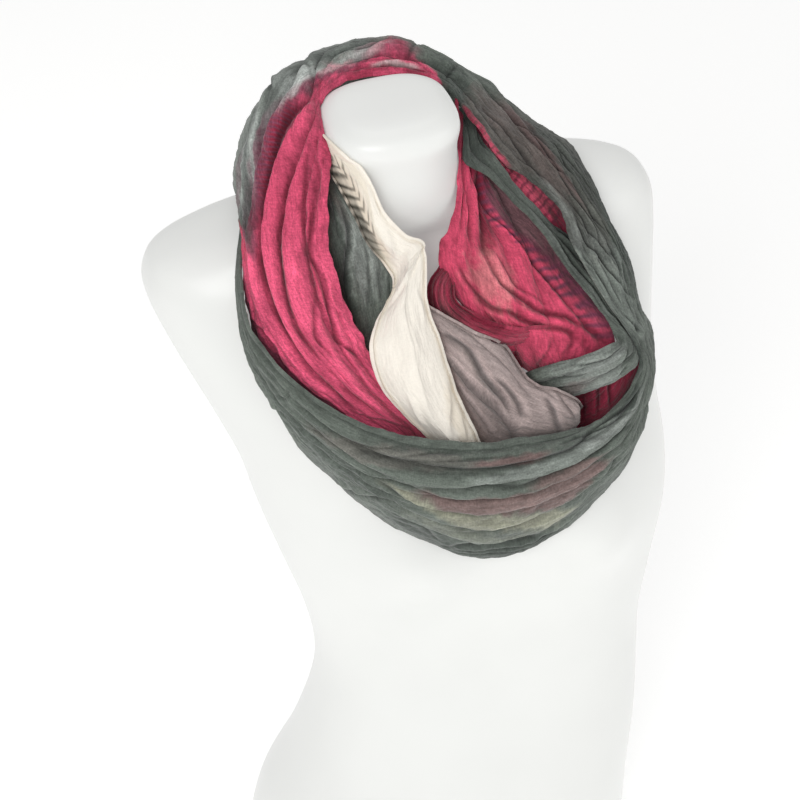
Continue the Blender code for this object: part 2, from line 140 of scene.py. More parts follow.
# The two turns of the loop, section by section, from the hidden start inside the cowl to the hidden end
# of the crossing strand. Each section is its inner edge, its ridge and its outer edge.
LOOP = [
    # inner, ridge, outer
    ((-8, -101, 512), (-26, -103, 510), (-44, -100, 513)),     # 0 tucked on the chest
    ((-11, -118, 563), (-29, -126, 568), (-47, -122, 566)),
    ((-32, -116, 604), (-63, -126, 612), (-88, -116, 607)),
    ((-49, -104, 637), (-90, -112, 644), (-117, -84, 628)),
    ((-58, -80, 670), (-108, -79, 675), (-124, -53, 656)),
    ((-62, -55, 702), (-108, -41, 705), (-119, -24, 696)),     # 5 left side of the neck
    ((-57, -34, 745), (-98, -5, 735), (-111, 12, 708)),
    ((-53, -12, 772), (-92, 22, 763), (-105, 48, 705)),
    ((-42, 21, 781), (-69, 50, 784), (-89, 88, 707)),
    ((-20, 38.5, 782), (-30, 74, 785), (-48, 118, 704)),
    ((16, 39, 779), (25, 88, 776), (30, 126, 692)),            # 10 nape
    ((47, 33, 769), (59, 76, 763), (77, 112, 693)),
    ((60, 22, 757), (87, 62, 743), (114, 92, 691)),
    ((73, 9, 744), (104, 50, 720), (137, 78, 680)),
    ((96, -14, 714), (119, 2, 713), (145, 22, 693)),
    ((111, -47, 696), (136, -44, 688), (152, -32, 673)),       # 15 over the right shoulder
    ((115, -78, 676), (149, -66, 653), (166, -38, 627)),
    ((132, -98, 639), (152, -89, 623), (171, -52, 591)),
    ((153, -106, 596), (164, -96, 580), (178, -68, 558)),      # 18 pinched corner
    ((146, -116, 575), (155, -112, 555), (163, -82, 520)),
    ((113, -134, 560), (126, -144, 539), (139, -100, 486)),    # 20 front drape
    ((71, -147, 568), (75, -166, 536), (85, -123, 460)),
    ((16, -154, 579), (10, -174, 540), (25, -122, 447)),
    ((-31, -152, 595), (-47, -167, 562), (-47, -114, 494)),
    ((-74, -145, 617), (-91, -142, 592), (-91, -88, 541)),
    ((-110, -125, 646), (-120, -114, 625), (-117, -66, 591)),  # 25
    ((-130, -88, 671), (-133, -72, 650), (-126, -48, 625)),
    ((-124, -42, 690), (-129, -37, 682), (-126, -31, 671)),
    ((-105, 20, 699), (-107, 25, 696), (-108, 32, 690)),       # 28 under the hood
    ((-84, 46, 698), (-92, 64, 691), (-96, 88, 672)),
    ((-44, 66, 706), (-52, 84, 690), (-56, 103, 652)),         # 30 second turn at the nape
    ((4, 72, 708), (4, 92, 690), (4, 108, 648)),
    ((46, 62, 710), (54, 80, 695), (66, 97, 662)),
    ((56, 34, 739), (68, 42, 737), (84, 52, 722)),
    ((60, 6, 742), (69, 16, 744), (77, 26, 742)),              # 34 right of the neck
    ((57, -15, 730), (68, -6, 731), (77, 2, 728)),
    ((70, -33, 713), (81, -24, 713), (91, -14, 706)),
    ((85, -62, 694), (95, -53, 693), (104, -43, 682)),
    ((100, -80, 667), (113, -71, 663), (128, -57, 656)),
    ((118, -97, 634), (129, -91, 633), (142, -78, 628)),
    ((136, -107, 612), (147, -106, 604), (157, -98, 590)),     # 40 turns in below the hood
    ((126, -119, 615), (131, -122, 602), (138, -117, 586)),
    ((102, -121, 611), (105, -127, 599), (113, -119, 580)),
    ((81, -114, 605), (85, -119, 592), (93, -114, 573)),
    ((66, -106, 595), (71, -110, 584), (78, -106, 568)),
]

# The stretches gathered inside the cowl, section by section.
RIGHT_CRIMSON = [
    ((58, 22, 756), (60, 16, 744), (63, 10, 731)),
    ((51, -8, 737), (57, -6, 727), (70, 2, 712)),
    ((39, -34, 714), (56, -32, 702), (80, -20, 695)),
    ((30, -54, 694), (64, -60, 678), (105, -44, 665)),
    ((26, -68, 680), (68, -88, 656), (119, -74, 638)),
    ((28, -80, 656), (70, -102, 632), (134, -96, 610)),
    ((40, -86, 635), (72, -106, 614), (127, -104, 586)),
    ((55, -84, 600), (82, -97, 581), (117, -98, 565)),
]
SLIT_CRIMSON = [
    ((62, 24, 744), (69, 28, 742), (76, 30, 740)),
    ((69, 8, 725), (77, 12, 729), (86, 22, 727)),
    ((80, -4, 706), (90, -1, 709), (103, 10, 705)),
    ((93, -26, 690), (104, -23, 692), (119, -10, 685)),
    ((109, -55, 664), (120, -49, 662), (130, -39, 659)),
]
CRIMSON_GATHERS = [
    ((33, -62, 667), (26, -64, 676), (20, -62, 678)),
    ((22, -78, 665), (12, -82, 672), (5, -76, 669)),
    ((24, -88, 655), (13, -90, 655), (6, -80, 643)),
    ((37, -101, 650), (27, -104, 643), (22, -93, 626)),
    ((60, -108, 640), (56, -110, 630), (52, -101, 612)),
    ((92, -97, 628), (90, -93, 616), (88, -85, 602)),
]
CRIMSON_TUCK = [
    ((141, -101, 606), (149, -103, 594), (157, -99, 577)),
    ((126, -109, 594), (129, -114, 572), (134, -108, 547)),
    ((114, -104, 572), (116, -108, 556), (120, -104, 532)),
    ((101, -90, 562), (103, -95, 545), (108, -98, 521)),
    ((86, -79, 556), (88, -87, 540), (92, -94, 516)),
]
WHITE = [
    ((-44, 12, 765), (-48, 12, 755), (-51, 12, 745)),
    ((-46, -10, 772), (-50, -12, 763), (-52, -2, 747)),
    ((-42, -34, 774), (-46, -33, 763), (-50, -26, 748)),
    ((-30, -54, 759), (-36, -55, 748), (-44, -52, 734)),
    ((-21, -61, 730), (-29, -64, 720), (-35, -61, 708)),
    ((-9, -70, 714), (-16, -74, 705), (-25, -71, 691)),
    ((3, -78, 706), (-11, -84, 700), (-23, -82, 680)),
    ((-2, -98, 673), (-24, -108, 676), (-42, -102, 667)),
    ((2, -110, 650), (-26, -125, 654), (-51, -116, 651)),
    ((6, -122, 624), (-25, -136, 632), (-47, -126, 625)),
    ((13, -130, 595), (-14, -142, 604), (-33, -134, 603)),
    ((23, -132, 559), (5, -140, 566), (-13, -133, 567)),
    ((24, -101, 520), (8, -103, 516), (-6, -101, 519)),
]
TAUPE = [
    ((-2, -90, 664), (-6, -95, 655), (-9, -94, 642)),
    ((27, -107, 644), (14, -117, 631), (2, -106, 606)),
    ((47, -115, 628), (30, -128, 615), (10, -114, 581)),
    ((64, -122, 602), (49, -134, 592), (24, -118, 554)),
    ((86, -128, 591), (72, -140, 579), (46, -122, 543)),
    ((101, -125, 572), (96, -134, 559), (81, -124, 535)),
    ((96, -98, 540), (86, -101, 524), (72, -104, 508)),
]
GREEN_INNER = [
    ((-50, -10, 742), (-54, -8, 733), (-59, 0, 720)),
    ((-41, -36, 731), (-51, -36, 725), (-63, -28, 712)),
    ((-29, -51, 709), (-44, -50, 704), (-61, -40, 691)),
    ((-20, -61, 686), (-40, -62, 677), (-62, -54, 666)),
    ((-23, -78, 660), (-40, -78, 651), (-58, -70, 636)),
    ((-30, -98, 626), (-38, -98, 620), (-53, -90, 605)),
    ((-30, -75, 590), (-40, -75, 588), (-50, -73, 588)),
]

# Valley lines between the folds: how deep the fold before each stands, and how far across the line lies at
# the sections named on the first line.
HOOD_AT = (0, 2, 3, 4, 5, 6, 7, 8, 9, 12, 14, 16, 18)
HOOD_VALLEYS = [
    # depth  0    2    3    4    5    6    7    8    9   12   14   16   18
    (3.2,    8,  10,  10,   8,   7,   5,   2,   2,   6,   6,   7,  10,  16),
    (4.2,   22,  22,  19,  15,  14,  12,   5,   4,  13,  12,  14,  20,  30),
    (5.5,   40,  42,  41,  39,  33,  24,  11,   7,  24,  42,  45,  42,  44),
    (6.5,   60,  58,  56,  52,  51,  42,  23,  13,  36,  54,  59,  56,  58),
    (5.5,   78,  80,  78,  76,  74,  61,  42,  32,  52,  68,  71,  69,  74),
    (5,     90,  92,  90,  90,  88,  82,  70,  62,  74,  83,  84,  85,  88),
    (4.5,  100, 100, 100, 100, 100, 100, 100, 100, 100, 100, 100, 100, 100),
]
DRAPE_AT = (18, 19, 20, 21, 22, 23, 24, 25, 26, 28)
DRAPE_VALLEYS = [
    # depth 18   19   20   21   22   23   24   25   26   28
    (1.6,   12,   7,   4,   6,   6,   7,   6,   6,   8,  16),
    (3.2,   22,  20,  12,  20,  21,  21,  24,  22,  24,  30),
    (4,     34,  34,  28,  36,  35,  42,  38,  36,  36,  42),
    (3,     46,  46,  40,  48,  46,  48,  50,  50,  50,  54),
    (4,     58,  58,  54,  60,  60,  57,  60,  62,  62,  65),
    (3.6,   68,  70,  66,  72,  75,  67,  72,  74,  74,  76),
    (3.6,   80,  82,  80,  86,  87,  80,  84,  86,  86,  88),
    (3.2,  100, 100, 100, 100, 100, 100, 100, 100, 100, 100),
]
PLACES = 5              # places along a stretch at which even valley lines are read
VALLEY_DRIFT = 0.22     # widest drift of an even valley line, in widths of its fold
DRIFT_BY_FOLD = 2.1     # how far the drift's wave turns from one valley line to the next
DRIFT_BY_PLACE = 1.7    # and from one place to the next, in radians


def even_valleys(count, depth):
    """Valley lines at nearly even spacing, which drift a little between the ends of the stretch."""
    rows = []
    for fold in range(1, count + 1):
        middle = fold / count
        free = 0.0 if fold == count else VALLEY_DRIFT / count
        turns = (DRIFT_BY_FOLD * fold + DRIFT_BY_PLACE * place for place in range(1, PLACES - 1))
        shares = (middle, *(middle + free * math.sin(turn) for turn in turns), middle)
        rows.append((depth, *(100 * share for share in shares)))
    return rows


# Every piece of cloth: its table, the sections that it starts and ends at, its valley lines, the width of
# the cloth that is gathered into it, how far its folds lean to the outer edge, how strong its wrinkles
# are, its main dye and its cut, width by length.
Stretch = namedtuple("Stretch", "name table first last valleys cloth lean wrinkle dye cut")
STRETCHES = [
    Stretch("hood_left", LOOP, 0, 9, HOOD_VALLEYS, 150, 0.65, 1, "green", (180, 330)),
    Stretch("hood_back", LOOP, 9, 12, HOOD_VALLEYS, 150, 0.65, 1, "green", (180, 150)),
    Stretch("hood_right", LOOP, 12, 18, HOOD_VALLEYS, 150, 0.65, 1, "green", (150, 240)),
    Stretch("front_drape", LOOP, 18, 28, DRAPE_VALLEYS, 150, 0.6, 0.85, "green", (170, 520)),
    Stretch("under_collar", LOOP, 28, 33, even_valleys(3, 2), 80, 0.3, 1, "green", (90, 240)),
    Stretch("right_strand", LOOP, 33, 40, even_valleys(2, 2.8), 60, 0.3, 0.85, "green", (38, 240)),
    Stretch("cross_strand", LOOP, 40, 44, even_valleys(3, 2.6), 60, 0.3, 0.85, "green", (45, 110)),
    Stretch("right_crimson", RIGHT_CRIMSON, 0, 7, even_valleys(4, 3), 120, 0.4, 0.9, "crimson", (125, 200)),
    Stretch("slit_crimson", SLIT_CRIMSON, 0, 4, even_valleys(2, 1), 50, 0.3, 0.5, "crimson", (45, 115)),
    Stretch("crimson_gathers", CRIMSON_GATHERS, 0, 5, even_valleys(5, 3.2), 90, 0.5, 1, "wine", (60, 130)),
    Stretch("crimson_tuck", CRIMSON_TUCK, 0, 4, even_valleys(2, 1.2), 60, 0.2, 0.7, "wine", (60, 90)),
    Stretch("white_upper", WHITE, 0, 6, even_valleys(2, 2), 45, 0.2, 0.32, "cream", (42, 142)),
    Stretch("white_lower", WHITE, 6, 12, even_valleys(2, 3), 70, 0.3, 0.32, "cream", (66, 225)),
    Stretch("taupe", TAUPE, 0, 6, even_valleys(3, 1), 100, 0.3, 0.5, "taupe", (110, 160)),
    Stretch("green_inner", GREEN_INNER, 0, 6, even_valleys(2, 2), 60, 0.2, 0.7, "green", (60, 190)),
]
SLOPE_STEP = 0.05           # how far from a row the slope of the cloth is read, in sections
FOLD_FOOT = 0.4             # share of a fold's depth that lies below the arc of its section
CREST_SKEW = 1.3            # how far a fold's crest lies towards its outer valley
CREST_ROUND = 0.75          # below 1, crests are broad and valleys narrow
NARROW_FOLD = 36.0          # a fold is never deeper than its width squared over this length
FLAT_SEAMS = (18, 28, 33, 40)   # sections of LOOP where the number of folds changes and the cloth is flat
FLATTENS_OVER = 0.6         # how far from such a section the folds reach their depth, in sections
FOLDS_ALONG = [             # how deep the folds of LOOP are by section, as a share of their depth
    (0, 0.8), (7, 0.75), (9, 1), (12, 1), (13.5, 0.75), (15, 0.6), (17, 0.6), (18, 0.9), (99, 1),
]
SWELL = {"share": 0.3, "along": 0.9, "apart": 7.3, "seed": 21}     # how the folds' depth varies along them

# Where a stretch is narrower or wider than its sections: section number, and how far across its edges lie.
EDGES = {
    "hood_left": [(0, 0, 100), (5.6, 0, 100), (6.4, -4, 100), (7.4, -5, 100), (8.2, -3, 100), (9, 0, 100)],
    "hood_right": [
        (12, 0, 100), (12.5, -6, 100), (13, -10, 100), (13.5, -15, 100), (13.8, -14, 100), (14.2, -5, 100),
        (14.7, 0, 100), (15.1, 4, 100), (15.6, 1, 100), (18, 0, 100),
    ],
    "front_drape": [
        (18, 0, 100), (25.6, 0, 100), (26.2, 4, 100), (27, 15, 100), (27.5, 20, 100), (28, 20, 100),
    ],
    "right_crimson": [
        (0, -10, 100), (0.5, -18, 100), (1, -18, 105), (1.45, -16, 118), (1.85, 3, 120), (2.2, 0, 112),
        (2.9, -5, 102), (3.6, -10, 100), (4.4, -12, 100), (5.2, -11, 100), (5.5, -6, 100), (6, 0, 100),
        (7, 0, 100),
    ],
    "right_strand": [
        (33, 5, 55), (33.6, -12, 30), (34.2, -20, 30), (34.8, -24, 58), (35.3, -8, 62), (35.7, 8, 58),
        (36.1, 11, 54), (36.5, 13, 62), (36.9, 26, 82), (37.3, 22, 96), (37.8, 26, 100), (38.5, 30, 100),
        (39.2, 38, 100), (39.8, 2, 100), (40, 0, 100),
    ],
    "taupe": [
        (0, 0, 100), (1, -2, 100), (2, -8, 100), (2.8, -5, 100), (3.4, 4, 100), (4.3, 0, 100), (6, 0, 100),
    ],
}
WHOLE_WIDTH = [(0, 0, 100), (99, 0, 100)]
# How the edges of the gauze wander: how long each kind of wave is and how far it goes.
RUFFLES = [
    # long far seed
    (21, 1.3, 61),
    (8, 0.35, 62),
]
RUFFLES_APART = 3.7     # how far apart in that pattern the two edges lie

# Creases in the cloth of each table, as troughs between soft lips; ridges have a negative depth. Each is
# its depth, its width and the places that it passes: section number and how far across.
LOOP_CREASES = [
    # depth, width, places
    # the crimson folds left of the neck
    (3, 1.8, (3.1, 8), (3.4, 17), (3.8, 13), (4.5, 9), (5, 12), (5.5, 8), (6.2, 5)),
    (2.5, 1.6, (3.2, 28), (3.5, 30), (3.8, 24), (4.3, 15)),
    (2.6, 1.5, (2.8, 18), (3.7, 18), (4.3, 15), (5, 14), (5.6, 14), (6.2, 11), (6.7, 6)),
    (2.8, 1.6, (3.2, 41), (3.7, 42), (4.3, 36), (4.9, 33), (5.4, 31), (5.9, 25), (6.5, 16)),
    (3.5, 2.2, (2.4, 56), (2.9, 57), (3.3, 54), (3.8, 52), (4.3, 51), (4.8, 53), (5.3, 50)),
    (3, 3, (1.9, 66), (2.2, 60), (2.6, 54), (3, 53)),
    (2.2, 1.5, (3, 83), (3.3, 75), (3.5, 71), (3.8, 80), (4, 88)),
    (1.6, 2, (1.3, 20), (1.5, 35), (1.7, 50), (1.9, 66)),
    (1.1, 1.5, (2, 36), (2.8, 33), (3.4, 35)),
    (1, 1.5, (2.3, 20), (3, 22), (3.7, 20)),
    (4, 2, (4.9, 52), (5.4, 50), (6, 42), (6.4, 34), (6.9, 25), (7.2, 20), (7.5, 14), (7.8, 6)),
    (1.1, 1.2, (5.6, 2.5), (6.3, 3), (7, 1.5)),
    (1.3, 1.5, (2.2, 74), (2.6, 69), (3.2, 66), (4, 68)),
    (1.2, 1.4, (4.1, 66), (4.6, 70), (5.1, 68)),
    # the sheer top of the hood
    (1.6, 1.5, (7.75, 42), (7.95, 50), (8.15, 60)),
    (1.2, 1.5, (6.3, 58), (7, 50), (7.6, 42)),
    (1.2, 1.5, (6.3, 78), (7, 68), (7.6, 60), (8.2, 50)),
    (1.2, 1.5, (8.2, 15), (8.4, 25), (8.5, 40)),
    (1, 1.3, (7, 36), (7.5, 33), (8, 28)),
    # the nape
    (1.6, 1.3, (9.2, 12), (9.8, 10), (10.4, 12), (10.9, 5)),
    (1.2, 1.1, (9.5, 5), (10.2, 6), (10.7, 4)),
    (1.5, 1.5, (9.1, 24), (9.6, 20), (10, 30)),
    (1.6, 1.5, (10.3, 10), (10.5, 30), (10.6, 50)),
    (1.6, 1.5, (11.3, 5), (11.5, 30), (11.4, 50)),
    (2, 1.8, (8.6, 60), (9.8, 66), (11, 58)),
    (2.2, 1.8, (9.2, 84), (10.3, 76), (11.8, 84)),
    (1.6, 1.5, (9.9, 50), (10.6, 72), (11.1, 90)),
    # the right of the hood
    (3, 1.8, (13.75, 30), (14.1, 33), (14.35, 37), (14.45, 50)),
    (2.6, 2, (15, 19), (15.4, 15), (15.8, 15), (16, 24), (16.4, 30), (16.6, 42), (16.8, 66)),
    (2.2, 1.6, (13, 34), (13.5, 44), (14, 54)),
    (2.4, 1.8, (14.3, 36), (14.8, 30), (15.3, 36), (15.8, 30)),
    (2, 1.5, (14.5, 54), (15, 44), (15.5, 54)),
    (2.2, 1.6, (15.4, 22), (16, 36), (16.4, 46)),
    (1.8, 1.4, (14.9, 22), (15.3, 26), (15.7, 22)),
    (2.4, 1.8, (13.2, 42), (14, 45), (15, 40), (16, 46), (17, 52)),
    (1.5, 1.4, (16.1, 2), (16.4, 10), (16.9, 12)),
    (3.5, 2.5, (17.2, 20), (17.4, 30), (17.45, 42)),
    (-1.2, 2.5, (17.35, 66), (17.6, 32), (17.85, 4)),
    (1.5, 1.6, (12.6, 10), (13.3, 13), (14, 10), (14.8, 6)),
    (1.5, 1.6, (12.4, 30), (12.9, 33), (13.3, 42)),
    (1.6, 1.8, (13.3, 60), (13.9, 68), (14.6, 80), (15.2, 90)),
    (1.4, 1.5, (15, 68), (15.8, 74), (16.5, 84)),
    (2.4, 1.8, (13, 66), (14, 64), (15.2, 58), (16.4, 66), (17.4, 72)),
    # the front drape
    (2.5, 1.7, (19.4, 12), (19.8, 5), (20.3, 6), (20.6, 14), (21, 19), (21.9, 21), (23, 18)),
    (1.5, 1.3, (21, 10), (21.5, 13), (22, 12), (22.6, 15), (23.4, 22), (23.8, 30)),
    (2.2, 1.7, (19.6, 33), (20, 27), (20.3, 31), (21, 36), (21.5, 39), (22, 34), (22.25, 39)),
    (0.9, 1.3, (21.1, 27), (21.6, 27), (22, 24), (22.5, 25), (23.1, 27)),
    (1.5, 1.4, (21.3, 50), (21.8, 46), (22.4, 47), (23, 42), (23.4, 48), (23.8, 55)),
    (1.7, 1.4, (22.1, 61), (22.6, 57.5), (23, 53), (23.3, 50)),
    (1.5, 1.5, (20, 50), (20.3, 60), (20.7, 68), (21, 72)),
    (0.8, 1.2, (20.2, 42), (20.6, 48), (21.2, 52)),
    (2.5, 2, (23, 62), (23.3, 75), (23.5, 88), (23.65, 100)),
    (1.7, 1.6, (23, 78), (22.7, 82), (22.5, 90)),
    (2.2, 1.8, (24.45, 55), (24.8, 65), (24.95, 80), (25, 100)),
    (1, 1.4, (25, 10), (24.95, 30), (25.1, 45)),
    (1.7, 1.6, (21.2, 94), (21.7, 87), (22.2, 89), (22.5, 97)),
    (3, 3, (19.1, 16), (19.4, 13), (19.7, 8)),
    (1.3, 1.5, (25.3, 50), (26, 45), (26.8, 40)),
    (1.3, 1.5, (25, 70), (25.8, 66), (26.6, 62)),
    (1, 1.3, (25.2, 20), (26, 18), (27, 14)),
    (1.4, 1.6, (18.4, 50), (19, 60), (19.6, 66), (20.4, 76)),
    (1.4, 1.6, (18.6, 70), (19.2, 84), (20, 90)),
    (1.8, 1.1, (20.7, 92), (21.2, 94.5), (21.8, 93), (22.4, 95)),
    (1.4, 1, (20.9, 96.5), (21.4, 97.5), (22, 96.5), (22.5, 98)),
    (-1.2, 1.2, (20.8, 90), (21.3, 91.5), (21.9, 90.5), (22.3, 92)),
    (2.2, 1.4, (19.3, 30), (19.7, 14), (20.2, 7), (20.6, 9), (21, 12)),
    (1.4, 1.2, (23.2, 10), (23.6, 18), (24, 22), (24.5, 20)),
    (1.4, 1.2, (22.3, 8), (22.7, 10), (23.1, 16), (23.4, 24)),
    (1.2, 1.2, (23.6, 34), (24, 36), (24.5, 42), (25, 44)),
    # the second turn
    (1.5, 1.5, (28.5, 30), (29.5, 35), (30.5, 30)),
    (1.5, 1.5, (29, 70), (30, 66), (31.3, 72)),
    (1.2, 1.4, (30.6, 45), (31.6, 50), (32.6, 45)),
    (1.5, 1.2, (33.8, 40), (34.5, 42), (35.2, 60)),
    (2.4, 1.5, (36.9, 55), (37.4, 50), (37.9, 46), (38.4, 50), (39, 56), (39.5, 52)),
    (3, 2.2, (37.3, 80), (37.7, 88), (38.1, 92), (38.5, 94)),
    (1.6, 1.2, (38.2, 66), (38.7, 70), (39.1, 76), (39.6, 74)),
    (2.4, 1.6, (39.2, 86), (39.5, 90), (39.8, 86)),
    (2, 1.2, (40.5, 18), (41.2, 26), (41.8, 20), (42.3, 10)),
    (1.5, 1.2, (41.9, 42), (42.5, 40), (43.2, 28)),
    (2, 1.3, (40.3, 42), (40.9, 58), (41.4, 64)),
    (1.5, 1.3, (40.8, 78), (41.2, 90)),
    (1, 1.1, (41, 55), (42, 62), (43, 60)),
]
RIGHT_CRIMSON_CREASES = [
    (3, 4, (1.2, 70), (1.6, 62), (2, 50), (2.5, 38), (3, 30), (3.4, 29)),
    (2.2, 1.6, (1.8, 58), (2.2, 60), (2.5, 65), (2.9, 70), (3.3, 74), (3.8, 80), (4.5, 85), (5, 92)),
    (3.4, 2, (3.4, 31), (3.7, 34), (3.94, 38), (4.1, 50), (4.4, 62), (4.5, 76), (4.7, 83), (5.2, 93)),
    (3, 1.8, (4.6, 10), (4.72, 24), (4.6, 38), (4.75, 52), (4.8, 62), (4.85, 73), (5.1, 78), (5.7, 74)),
    (1.4, 1.8, (3.1, 38), (3.4, 45), (3.8, 50), (4.05, 62), (4.2, 72)),
    (1.6, 1.5, (4, 40), (4.2, 46), (4.4, 56), (4.45, 66)),
    (1.8, 1.6, (4.55, 36), (4.75, 46), (4.9, 60)),
    (2.2, 1.8, (3.9, 2), (4.3, 8), (4.6, 20), (4.7, 36)),
    (1.2, 1.6, (1.6, 22), (2.2, 10), (2.9, 6)),
    (1, 1.6, (2, 26), (2.7, 20), (3.4, 18)),
    (1.5, 1.6, (4.4, 86), (4.9, 88), (5.3, 97)),
    (1.2, 1.4, (5.2, 66), (5.9, 60), (6.6, 50)),
]
SLIT_CRIMSON_CREASES = [
    (0.8, 1.3, (1, 42), (1.5, 55), (2.3, 60), (3, 62)),
    (0.6, 1.2, (2.4, 30), (3, 40), (3.6, 50)),
]
CRIMSON_GATHERS_CREASES = [
    (2.2, 1.3, (0.3, 28), (1.5, 32), (2.5, 28), (3.6, 32), (4.4, 35)),
    (2.2, 1.3, (0.5, 50), (1.5, 55), (2.4, 50), (3.4, 55), (4.4, 50)),
    (2.2, 1.3, (0.6, 75), (1.6, 80), (2.6, 70), (3.6, 74)),
    (1.4, 1.1, (0.8, 14), (2, 18), (3.4, 16)),
]
CRIMSON_TUCK_CREASES = [
    (2.2, 1.3, (0.95, 15), (1.1, 45), (1.2, 80)),
    (2.2, 1.3, (1.55, 15), (1.7, 42), (1.85, 75)),
    (1.2, 1.2, (2.3, 20), (2.4, 50), (2.5, 75)),
]
WHITE_CREASES = [
    (1, 1.6, (1.8, 45), (2.2, 55), (2.6, 50)),
    (1.3, 2, (4.3, 25), (4.8, 50), (5.2, 80)),
    (2.2, 2, (5.8, -5), (6, 10), (6.15, 26), (6.3, 45), (6.4, 70), (6.5, 100)),
    (1.2, 2.2, (6.7, 18), (7.1, 10), (7.6, 12)),
    (0.9, 3, (7.3, 25), (7.8, 34), (8.4, 28)),
    (1, 3.5, (7.2, 60), (8.2, 55), (9.2, 62)),
    (1.8, 2.6, (9, 4), (9.6, 12), (10.1, 26), (10.7, 55)),
    (1.4, 2, (9.6, 5), (10.3, 12), (10.9, 30)),
    (1.8, 2.6, (9.3, 66), (9.9, 76), (10.4, 88)),
]
TAUPE_CREASES = [
    (5, 2.8, (0.44, 41), (0.7, 31), (1, 30), (1.4, 38), (1.85, 48), (2.3, 52), (2.7, 55), (3.6, 74)),
    (5, 2.6, (0.6, 68), (1.3, 67), (1.7, 68), (2.3, 67), (2.7, 66), (3.2, 72), (3.8, 87)),
    (4, 2.4, (2.1, 42), (2.5, 40), (2.8, 42), (3.1, 49), (3.4, 62)),
    (1.6, 1.6, (0.5, 10), (1, 8), (1.8, 16), (2.6, 20), (3.2, 30)),
    (1.4, 1.6, (1, 84), (1.8, 82), (2.6, 84), (3.4, 92)),
    (3.4, 2, (3.6, 24), (3.8, 33), (4.1, 45), (4.4, 60), (4.6, 74)),
    (2.6, 1.8, (3.9, 8), (4.1, 19), (4.4, 29), (4.7, 41)),
    (1.4, 1.6, (3, 10), (3.5, 12), (4, 24)),
    (1.2, 1.4, (4.5, 12), (4.8, 20), (5.1, 30)),
]
GREEN_INNER_CREASES = [
    (4, 2.2, (1, 34), (1.5, 43), (2, 57), (2.4, 70), (3, 80), (3.8, 80)),
    (1.5, 1.6, (2.8, 20), (3.2, 25), (3.7, 27)),
    (1.2, 1.4, (1.9, 28), (2.4, 32), (3, 42), (3.7, 52)),
    (1, 1.3, (0.6, 50), (1.2, 62), (1.8, 76)),
]
CREASE_GAIN = 1.25          # how much deeper than drawn creases are made
CREASE_SPREAD = 1.15        # and how much wider
CREASE_ROUND = 0.3          # how round the bottom of a crease is, in millimetres
CREASE_FALL = 1.3           # how its sides fall: 2 would be a bell and 1 a sharp cut
CREASE_PAST = 15            # how far past its ends along the cloth a crease is felt
CREASE_TIPS = 0.5           # how a crease's depth dies out at its tips: below 1, late and quickly
PATH_STEPS = 6              # points on a crease's path for each place that it passes
LIP_HIGH = 0.45             # how high a crease's inner lip stands, as a share of its depth
LIP_AT = 2.2                # how far the lip lies from the trough, in the crease's widths
LIP_WIDE = 1.3              # and how wide it is
FULL_CREASE_SHADE = 2.4           # creases drawn to this depth get the darkest painted crease shade
